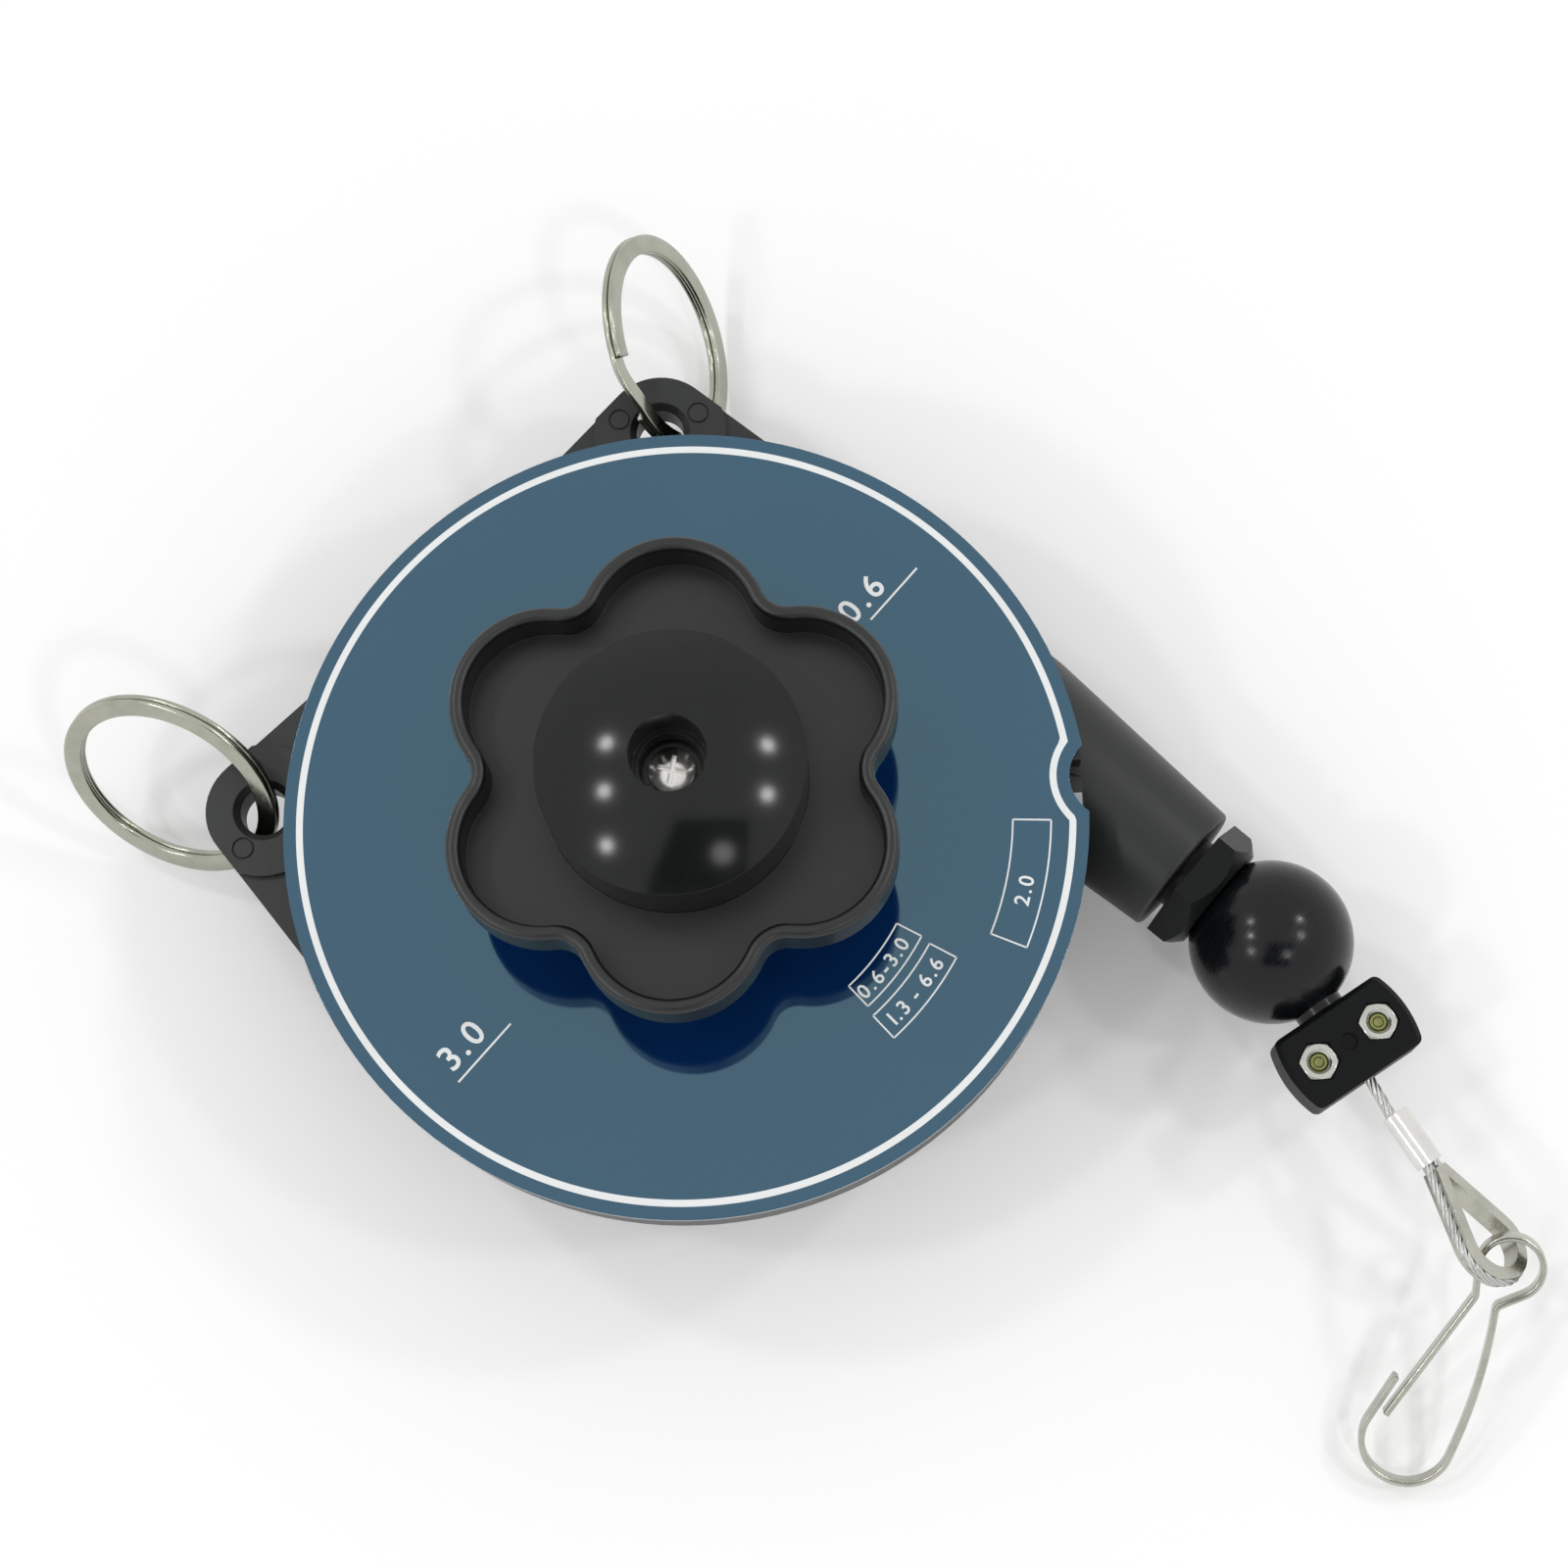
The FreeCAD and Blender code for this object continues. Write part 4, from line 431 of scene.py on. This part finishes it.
BOXES = (("print_reach", (56.8, 63.4, -71, -50.2), ("2.0", 2.6, 61.4, -62.0)),
         ("print_load", (41.4, 46.2, -95.9, -76.9), ("0.6-3.0", 2.55, 45.1, -87.1)),
         ("print_load_other", (48.0, 53.2, -96.5, -77.5), ("1.3 - 6.6", 2.55, 51.9, -87.1)))


def print_piece(name, outlines):
    """Thin raised print from outlines of (x, y) corners and their faces."""
    points, faces = [], []
    for corners, polygons in outlines:
        base, count = len(points), len(corners)
        points += [(x * MM, y * MM, (PLATE_TOP + INK) * MM) for x, y in corners]
        points += [(x * MM, y * MM, (PLATE_TOP - INK) * MM) for x, y in corners]
        edges = {}
        for polygon in polygons:
            faces.append(tuple(base + index for index in polygon))
            faces.append(tuple(base + count + index for index in reversed(polygon)))
            for first, second in zip(polygon, polygon[1:] + polygon[:1]):
                edges[(first, second)] = True
        for first, second in edges:
            if (second, first) not in edges:
                faces.append((base + second, base + first, base + count + first, base + count + second))
    mesh_piece(name, points, faces, "housing", white, smooth=False)


def reach_at(angle, inset):
    """Distance from the shaft at which the plate's edge is that far away, found by halving."""
    low, high = SEARCH_START, PLATE_RADIUS
    direction = polar(1, angle)
    for _ in range(SEARCH_STEPS):
        middle = (low + high) / 2
        away = min(PLATE_RADIUS - middle, (direction * middle - NOTCH_CENTRE).length - NOTCH_RADIUS)
        if away > inset:
            low = middle
        else:
            high = middle
    return low


def border_line():
    """White line that follows the plate's edge and steps round the notch."""
    corners, faces = [], []
    for step in range(BORDER_STEPS):
        angle = 360 * step / BORDER_STEPS
        for inset in BORDER_INSETS:
            place = polar(reach_at(angle, inset), angle)
            corners.append((place.x, place.y))
    for step in range(BORDER_STEPS):
        here, there = 2 * step, 2 * ((step + 1) % BORDER_STEPS)
        faces.append((here, there, there + 1, here + 1))
    print_piece("print_border", [(corners, faces)])


def strip(first, second, width):
    """Outline of a straight printed line."""
    along = (second - first).normalized()
    side = Vector((-along.y, along.x, 0)) * (width / 2)
    corners = [first + side, first - side, second - side, second + side]
    return [(corner.x, corner.y) for corner in corners], [(0, 1, 2, 3)]


def sector_frame(inner, outer, start, end):
    """Outlines of a box bounded by two arcs and two radii."""
    outlines = []
    for radius in (inner, outer):
        corners, faces = [], []
        for step in range(BOX_STEPS + 1):
            angle = start + (end - start) * step / BOX_STEPS
            for reach in (radius + BOX_LINE / 2, radius - BOX_LINE / 2):
                place = polar(reach, angle)
                corners.append((place.x, place.y))
        for step in range(BOX_STEPS):
            faces.append((2 * step, 2 * step + 1, 2 * step + 3, 2 * step + 2))
        outlines.append((corners, faces))
    for angle in (start, end):
        outlines.append(strip(polar(inner, angle), polar(outer, angle), BOX_LINE))
    return outlines


def glyph(character):
    """Corners and faces of a plain character, from a sans-serif face made a little bolder."""
    curve = bpy.data.curves.new("glyph", "FONT")
    curve.body = character
    curve.resolution_u = 4
    curve.offset = 0.012
    item = bpy.data.objects.new("glyph", curve)
    scene.collection.objects.link(item)
    data = bpy.data.meshes.new_from_object(item.evaluated_get(bpy.context.evaluated_depsgraph_get()))
    corners = [(vertex.co.x, vertex.co.y) for vertex in data.vertices]
    faces = [tuple(polygon.vertices) for polygon in data.polygons]
    bpy.data.objects.remove(item)
    bpy.data.curves.remove(curve)
    bpy.data.meshes.remove(data)
    return corners, faces


GLYPHS = {character: glyph(character) for character in "01236.-"}
GLYPH_HEIGHT = max(y for x, y in GLYPHS["0"][0])


def placed_glyph(character, height, place, right, up):
    """Outline of a character with its foot at a place, in the directions given."""
    corners, faces = GLYPHS[character]
    unit = height / GLYPH_HEIGHT
    turned = []
    for x, y in corners:
        point = place + right * (x * unit) + up * (y * unit)
        turned.append((point.x, point.y))
    return turned, faces


def advance(character, height):
    """Room that a character takes along its line."""
    if character == " ":
        return SPACE_ROOM * height
    widest = max(x for x, y in GLYPHS[character][0])
    return (widest / GLYPH_HEIGHT + CHARACTER_GAP) * height


def straight_number(text, height, place):
    """Outlines of a number with no spaces, read along the plate's x axis."""
    outlines = []
    for character in text:
        outlines.append(placed_glyph(character, height, place, Vector((1, 0, 0)), Vector((0, 1, 0))))
        place = place + Vector((advance(character, height), 0, 0))
    return outlines


def curved_number(text, height, radius, middle):
    """Outlines of a number read along an arc, with its top towards the shaft."""
    whole = sum(advance(character, height) for character in text)
    angle = middle - degrees(whole / radius) / 2
    outlines = []
    for character in text:
        room = degrees(advance(character, height) / radius)
        centre = angle + room / 2
        right, up = polar(1, centre + 90), polar(-1, centre)
        place = polar(radius, centre) - right * (advance(character, height) / 2)
        if character != " ":
            outlines.append(placed_glyph(character, height, place, right, up))
        angle += room
    return outlines


def print_plate():
    """Border, spring marks and boxed numbers."""
    border_line()
    for name, text, foot, ends, level in MARKS:
        line = strip(Vector((ends[0], level, 0)), Vector((ends[1], level, 0)), MARK_LINE)
        print_piece(name, straight_number(text, MARK_HEIGHT, Vector((*foot, 0))) + [line])
    for name, box, number in BOXES:
        print_piece(name, sector_frame(*box) + curved_number(*number))


# Split rings

LUG_REACH = 77.0
LUG_HEIGHT = 24.0
RING_OUTER = 20.8
RING_BAND = 3.5
RING_WRAP = 1.15
RING_GAP = 0.12
RING_CORNER = 0.5
RING_END = 17.0
RING_STEP = 13.0
RING_STATIONS = 288


def lug_centre(angle):
    """Middle of a lug's hole."""
    return polar(LUG_REACH, angle) + UP * LUG_HEIGHT


def ring_axes(angle, lean_out, lean_side, swing, slip_out, slip_side):
    """Centre and axes of a ring that hangs in a lug's hole."""
    out, side = polar(1, angle), polar(1, angle + 90)
    tangent = (UP + out * tan(radians(lean_out)) + side * tan(radians(lean_side))).normalized()
    towards = out * cos(radians(swing)) + side * sin(radians(swing))
    towards = (towards - tangent * towards.dot(tangent)).normalized()
    normal = towards.cross(tangent)
    crossing = lug_centre(angle) + out * slip_out + side * slip_side
    return crossing + towards * (RING_OUTER - RING_BAND / 2), towards, tangent, normal


def split_ring(name, body, axes, first):
    """Flat wire wound twice, stepping smoothly from one turn to the next where its ends lie."""
    centre, towards, tangent, normal = axes
    middle, level = RING_OUTER - RING_BAND / 2, (RING_WRAP + RING_GAP) / 2
    section = rounded_section(RING_BAND, RING_WRAP, RING_CORNER)
    points = []
    for index in range(RING_STATIONS + 1):
        angle = RING_END + (720 - 2 * RING_END) * index / RING_STATIONS
        climb = min(1.0, max(0.0, (angle - 360 + RING_STEP) / (2 * RING_STEP)))
        height = -level + 2 * level * climb * climb * (3 - 2 * climb)
        turn = radians(first + angle)
        outward = towards * cos(turn) + tangent * sin(turn)
        for x, y in section:
            points.append((centre + outward * (middle + x) + normal * (height + y)) * MM)
    faces = tube_faces(RING_STATIONS + 1, len(section))
    ring = mesh_piece(name + "_wire", points, faces, body, nickel)
    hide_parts(name)


def add_rings():
    """Both rings, hung in the lugs' holes as the photograph shows them."""
    top = ring_axes(angle=45.6, lean_out=8.9, lean_side=27.5, swing=-0.9, slip_out=0.6, slip_side=-0.7)
    split_ring("top_ring", "top_ring_body", top, first=140)
    safety = ring_axes(angle=126.9, lean_out=-10.5, lean_side=-28.8, swing=-15.1,
                       slip_out=-0.2, slip_side=0.8)
    split_ring("safety_ring", "safety_ring_body", safety, first=-150)


# Cable end: its frame has the origin at the ball's centre and runs along -Y

CABLE_LINE = 53.0
CABLE_HEIGHT = 24.0
CABLE_START_RADIUS = 55.1
BALL_DISTANCE = 90.1
END_ORIGIN = Vector((CABLE_LINE, -BALL_DISTANCE, CABLE_HEIGHT))
END_TURN = Matrix.Rotation(radians(-15.5), 3, "Z")
CABLE_RADIUS = 1.0
CABLE_LAY = 13
STRANDS = 6
STRAND_STEPS = 6
ROPE_SPACING = 0.35
LEG_OFFSET = 1.12
CLAMP_END = 29.4
NECK = 7.4
FERRULE = 10.4
HIDDEN_IN_CLAMP = 2.5
HIDDEN_IN_FERRULE = 1.5
THIMBLE_REACH = 17.0
THIMBLE_INNER = 4.9
THIMBLE_BASE = 0.8
KINK = 1.3
TILT = 40.0
LOOP = THIMBLE_INNER + THIMBLE_BASE + CABLE_RADIUS
EYE_ACROSS = Vector((-cos(radians(TILT)), 0, sin(radians(TILT))))


def end_point(x, y, z):
    """Point of the cable end's frame in the scene, in metres."""
    return (END_ORIGIN + END_TURN @ Vector((x, y, z))) * MM


def eye_point(place):
    """Point of the eye's own plane: x along the cable from the ferrule's end, y across it."""
    ferrule_end = Vector((0, -(CLAMP_END + NECK + FERRULE), 0))
    return end_point(*(ferrule_end + Vector((0, -1, 0)) * place.x + EYE_ACROSS * place.y))


def rope_section(radius):
    """Outline of the strands round a core, as (angle, reach) pairs."""
    wire = radius / (1 + 1 / sin(pi / STRANDS))
    ring = radius - wire
    outline = []
    for strand in range(STRANDS):
        for step in range(STRAND_STEPS):
            turn = (step / STRAND_STEPS - 0.5) * 2 * pi / STRANDS
            reach = ring * cos(turn) + sqrt(max(0.0, wire * wire - (ring * sin(turn)) ** 2))
            outline.append((2 * pi * strand / STRANDS + turn, reach))
    return outline


def rope_piece(name, path, body=None):
    """Laid wire rope along a path in metres: the strands' outline turns as it goes."""
    path = evenly(path, ROPE_SPACING * MM)
    outline = rope_section(CABLE_RADIUS * MM)
    points, walked = [], 0.0
    side = UP.cross(path[1] - path[0]).normalized()
    last = len(path) - 1
    for index, place in enumerate(path):
        if index:
            walked += (place - path[index - 1]).length
        along = (path[min(index + 1, last)] - path[max(index - 1, 0)]).normalized()
        side = (side - along * side.dot(along)).normalized()
        up = along.cross(side)
        for angle, reach in outline:
            turn = angle + 2 * pi * walked / (CABLE_LAY * MM)
            points.append(place + side * (reach * cos(turn)) + up * (reach * sin(turn)))
    return mesh_piece(name, points, tube_faces(len(path), len(outline)), body, cable)


def add_cable_run():
    """Straight cable up to the ball."""
    start = sqrt(CABLE_START_RADIUS ** 2 - CABLE_LINE ** 2)
    run = [Vector((CABLE_LINE, -start, CABLE_HEIGHT)) * MM, END_ORIGIN * MM]
    straight = rope_piece("cable_run_strands", run)
    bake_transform(straight)
    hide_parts("cable_run")


def add_cable_neck():
    """Cable from the clamp to the ferrule, stepping across to the ferrule's leg."""
    across = EYE_ACROSS * LEG_OFFSET
    bend_in, bend_out = Vector((0, -CLAMP_END, 0)), Vector((0, -CLAMP_END - NECK, 0)) + across
    path = [end_point(0, -CLAMP_END + HIDDEN_IN_CLAMP, 0), end_point(*bend_in), end_point(*bend_out),
            end_point(across.x, -CLAMP_END - NECK - HIDDEN_IN_FERRULE, across.z)]
    neck = rope_piece("cable_neck_strands", path)
    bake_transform(neck)
    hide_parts("cable_neck")


def add_cable_eye():
    """Cable through the ferrule, round the thimble and back."""
    slope = asin(LOOP / hypot(THIMBLE_REACH - KINK, LEG_OFFSET)) - atan2(LEG_OFFSET, THIMBLE_REACH - KINK)
    touch = Vector((THIMBLE_REACH - LOOP * sin(slope), LOOP * cos(slope), 0))
    kink = Vector((KINK, LEG_OFFSET, 0))
    bend = KINK / tan(slope / 2)
    root = Vector((-FERRULE, LEG_OFFSET, 0))
    half = [root] + corner_points(root, kink, touch, bend, steps=10) + [touch]
    leave = degrees(atan2(touch.y, touch.x - THIMBLE_REACH))
    loop = arc_points(Vector((THIMBLE_REACH, 0, 0)), LOOP, leave, -leave, steps=40)
    back = [Vector((point.x, -point.y, 0)) for point in reversed(half)]
    route = half[:-1] + loop + back[1:]
    eye = rope_piece("cable_eye_strands", [eye_point(point) for point in route], "eye_end")
    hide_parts("cable_eye")


# Screws and nuts of the clamp, with heights across its thickness

BOLT_PLACE = (6.35, -22.3)
BOLT_RADIUS = 1.7
BOLT_SIDES = 72
NUT_LOW, NUT_HIGH = 2.1, 4.7
NUT_HALF_FLATS, NUT_FACE, NUT_MOUTH = 3.15, 3.0, 2.25
NUT_SLOPE = 0.55
HEAD_LOW, HEAD_HIGH = -4.7, -2.7
HEAD_RADIUS = 2.9
HEAD_CHAMFER = 0.2
SOCKET_HALF_FLATS, SOCKET_FLOOR = 1.25, -3.5
AXIS_HOLE = 0.02
SCREW_END = 4.1
END_CHAMFER, END_CHAMFER_DEPTH = 0.3, 0.35
DISH_RADIUS, DISH_FLOOR_RADIUS = 1.0, 0.75
DISH_DEPTH, DISH_MIDDLE_DEPTH = 0.3, 0.35


def hexagon_reach(half_flats, angle):
    """Distance from a hexagon's middle to its side at an angle."""
    return half_flats / cos((angle + pi / 6) % (pi / 3) - pi / 6)


def nut_profile(angle):
    """Section of a nut at an angle, as (reach, height) pairs, from its thread's foot round to its side."""
    side = hexagon_reach(NUT_HALF_FLATS, angle)
    return [(BOLT_RADIUS, NUT_LOW), (BOLT_RADIUS, NUT_HIGH - (NUT_MOUTH - BOLT_RADIUS)),
            (NUT_MOUTH, NUT_HIGH), (NUT_FACE, NUT_HIGH),
            (side, NUT_HIGH - (side - NUT_FACE) * NUT_SLOPE), (side, NUT_LOW)]


def screw_profile(angle):
    """Section of a socket screw at an angle, from the socket's floor round to its dished end."""
    socket = hexagon_reach(SOCKET_HALF_FLATS, angle)
    return [(AXIS_HOLE, SOCKET_FLOOR), (socket, SOCKET_FLOOR), (socket, HEAD_LOW),
            (HEAD_RADIUS - HEAD_CHAMFER, HEAD_LOW), (HEAD_RADIUS, HEAD_LOW + HEAD_CHAMFER),
            (HEAD_RADIUS, HEAD_HIGH), (BOLT_RADIUS, HEAD_HIGH), (BOLT_RADIUS, SCREW_END - END_CHAMFER_DEPTH),
            (BOLT_RADIUS - END_CHAMFER, SCREW_END), (DISH_RADIUS, SCREW_END),
            (DISH_FLOOR_RADIUS, SCREW_END - DISH_DEPTH), (AXIS_HOLE, SCREW_END - DISH_MIDDLE_DEPTH)]


def turned_on_end(name, node, profile, x, material):
    """Turned or hexagonal piece that stands at x on the clamp."""
    angles = [2 * pi * index / BOLT_SIDES for index in range(BOLT_SIDES)]
    sections = [profile(angle) for angle in angles]
    points = []
    for station in range(len(sections[0])):
        for angle, section in zip(angles, sections):
            reach, height = section[station]
            points.append(end_point(x + reach * cos(angle), BOLT_PLACE[1] + reach * sin(angle), height))
    faces = tube_faces(len(sections[0]), BOLT_SIDES, closed=True)
    piece = mesh_piece(name, points, faces, "cable_end", material, smooth=False)
    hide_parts(node)


def add_bolts():
    """Hexagon nuts with a countersunk thread, and the socket screws through the clamp."""
    for side, x in (("left", -BOLT_PLACE[0]), ("right", BOLT_PLACE[0])):
        turned_on_end("clamp_nut_" + side, "clamp_nuts", nut_profile, x, nut_steel)
        turned_on_end("clamp_screw_" + side, "clamp_screws", screw_profile, x, yellow)


# Snap hook: its frame has the origin at the middle of the hook's eye and x along the shank

HOOK_ORIGIN = Vector((35.72695, -157.16646, 22.42593))
HOOK_ALONG = Vector((-0.8575522, -0.2756202, -0.4343244))
HOOK_ACROSS = Vector((0.3332322, -0.9408776, -0.0608742))
HOOK_NORMAL = HOOK_ALONG.cross(HOOK_ACROSS).normalized()
WIRE_THICKNESS = 1.1
WIRE_WIDTH = 3.0
WIRE_CORNER = 0.35
WIRE_SPACING = 0.35
HOOK_EYE = 5.5
HOOK_EYE_START, HOOK_EYE_END = 290, 47
HOOK_CORNER = 1.4
HOOK_NECK = Vector((7.5, 0.4, 0))
SHANK_BOW = 1.0
HOOK_FAR = Vector((36.4, -4.3, 0))
HOOK_BEND = 7.8
TIP_SLOPE = 170.6
TIP_LENGTH = 9.2
GATE_KNEE = Vector((7.0, -3.6, 0))
GATE_END = Vector((33.1, -9.5, 0))
GATE_ROOT_GAP = 0.3


def hook_points(path):
    """Points of the hook's frame in the scene, in metres."""
    return [(HOOK_ORIGIN + HOOK_ALONG * point.x + HOOK_ACROSS * point.y) * MM for point in path]


def flat_wire(name, node, body, path):
    """Flat wire along a path in the hook's frame."""
    section = rounded_section(WIRE_THICKNESS * MM, WIRE_WIDTH * MM, WIRE_CORNER * MM)
    places = hook_points(evenly(path, WIRE_SPACING))
    points = sweep_points(places, section, HOOK_NORMAL)
    faces = tube_faces(len(places), len(section))
    piece = mesh_piece(name, points, faces, body, hook_steel)
    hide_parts(node)


def add_hook():
    """Spring wire bent into an eye, a bowed shank, a far bend and a straight tip."""
    shank_end = HOOK_FAR + Vector((0, HOOK_BEND, 0))
    shank_middle = (HOOK_NECK + shank_end) / 2 + Vector((0, SHANK_BOW, 0))
    path = arc_points(Vector((0, 0, 0)), HOOK_EYE, HOOK_EYE_START, HOOK_EYE_END, steps=60)
    neck_turn = corner_points(path[-1], HOOK_NECK, shank_middle, HOOK_CORNER)
    path += neck_turn
    path += arc_through(neck_turn[-1], shank_middle, shank_end, steps=60)[1:]
    path += arc_points(HOOK_FAR, HOOK_BEND, 90, -(360 - TIP_SLOPE - 90), steps=50)[1:]
    path += [HOOK_FAR + polar(HOOK_BEND, TIP_SLOPE + 90) + polar(TIP_LENGTH, TIP_SLOPE)]
    flat_wire("snap_hook_wire", "snap_hook", "hook", path)


def add_gate():
    """Spring arm from the start of the hook's eye to the inner side of its tip."""
    eye_low = polar(HOOK_EYE, HOOK_EYE_START)
    root = eye_low + (GATE_KNEE - eye_low).normalized() * GATE_ROOT_GAP
    gate = [root] + corner_points(root, GATE_KNEE, GATE_END, HOOK_CORNER) + [GATE_END]
    flat_wire("hook_gate_wire", "hook_gate", "gate", gate)


# Floor and light: lamps and card lie about the knob's top, in the camera's axes

FLOOR_HALF = 3
FLOOR_DROP = 0.0004
FLOOR_GREY, FLOOR_WHITE = 0.3, 0.98
ROOM_GREY, ROOM_WHITE = 0.72, 1.0
KNOB_TOP = Vector((0, 0, 0.07))
LAMP_DISTANCE = 1.3
LAMP_SIZE = 0.12
LAMP_POWER = 1.25
LAMPS = ((-0.523, 0.510, 0.683), (-0.554, 0.185, 0.812), (-0.534, -0.206, 0.820),
         (0.593, 0.494, 0.636), (0.617, 0.160, 0.771), (0.311, -0.268, 0.912))
CARD_HEIGHT = 0.62
CARD_CORNERS = ((-0.2, -0.42), (0.36, -0.42), (0.36, -0.01), (-0.02, -0.01))
CARD_BLACK = 0.01


def seen_directly(tree):
    """Share of rays from the camera or from a gloss or glass, which see the white background."""
    path = tree.nodes.new("ShaderNodeLightPath")
    seen = path.outputs["Is Camera Ray"]
    for name in ("Is Glossy Ray", "Is Transmission Ray"):
        either = tree.nodes.new("ShaderNodeMath")
        either.operation = "MAXIMUM"
        tree.links.new(seen, either.inputs[0])
        tree.links.new(path.outputs[name], either.inputs[1])
        seen = either.outputs[0]
    return seen


def background(tree, level, white_level, target):
    """Links a grey for the light on the object, and the white that is seen, to a colour socket."""
    tint = mixed(tree, seen_directly(tree), (level,) * 3, (white_level,) * 3)
    tree.links.new(tint, target)


def sheet(name, corners):
    """Sheet of four corners with a new material, and the material's node tree."""
    data = bpy.data.meshes.new(name)
    data.from_pydata(corners, [], [(0, 1, 2, 3)])
    material = bpy.data.materials.new(name)
    material.use_nodes = True
    data.materials.append(material)
    item = bpy.data.objects.new(name, data)
    scene.collection.objects.link(item)
    return item, material.node_tree


def add_floor():
    """White floor that throws back only a little light."""
    half = FLOOR_HALF
    floor, tree = sheet("floor", [(-half, -half, 0), (half, -half, 0), (half, half, 0), (-half, half, 0)])
    floor.location.z = -FLOOR_DROP
    shader = tree.nodes["Principled BSDF"]
    shader.inputs["Roughness"].default_value = 0.9
    background(tree, FLOOR_GREY, FLOOR_WHITE, shader.inputs["Base Color"])


def from_knob(vector):
    """Place away from the knob's top by a vector along the camera's axes."""
    return KNOB_TOP + VIEW_TURN.transposed() @ Vector(vector)


def add_lamps():
    """Two rows of three ceiling lamps, where the dome shows their highlights."""
    for index, direction in enumerate(LAMPS):
        data = bpy.data.lights.new("lamp_%d" % index, "AREA")
        data.shape = "DISK"
        data.size = LAMP_SIZE
        data.energy = LAMP_POWER
        lamp = bpy.data.objects.new(data.name, data)
        lamp.location = from_knob(Vector(direction).normalized() * LAMP_DISTANCE)
        lamp.rotation_euler = (KNOB_TOP - lamp.location).to_track_quat("-Z", "Y").to_euler()
        scene.collection.objects.link(lamp)


def add_dark_card():
    """Dark sheet beside the camera that the dome and the ball reflect. It takes no light away."""
    card, tree = sheet("dark_card", [from_knob((x, y, CARD_HEIGHT)) for x, y in CARD_CORNERS])
    shader = tree.nodes["Principled BSDF"]
    shader.inputs["Base Color"].default_value = (CARD_BLACK, CARD_BLACK, CARD_BLACK, 1)
    card.visible_camera = False
    card.visible_shadow = False
    card.visible_diffuse = False


def add_room():
    """Even light from the room."""
    world = bpy.data.worlds.new("studio")
    scene.world = world
    world.use_nodes = True
    background(world.node_tree, ROOM_GREY, ROOM_WHITE, world.node_tree.nodes["Background"].inputs["Color"])


add_camera()
paint_nodes()
print_plate()
add_rings()
add_cable_run()
add_cable_neck()
add_cable_eye()
add_bolts()
add_hook()
add_gate()
add_floor()
add_lamps()
add_dark_card()
add_room()
scene.view_settings.view_transform = "Standard"
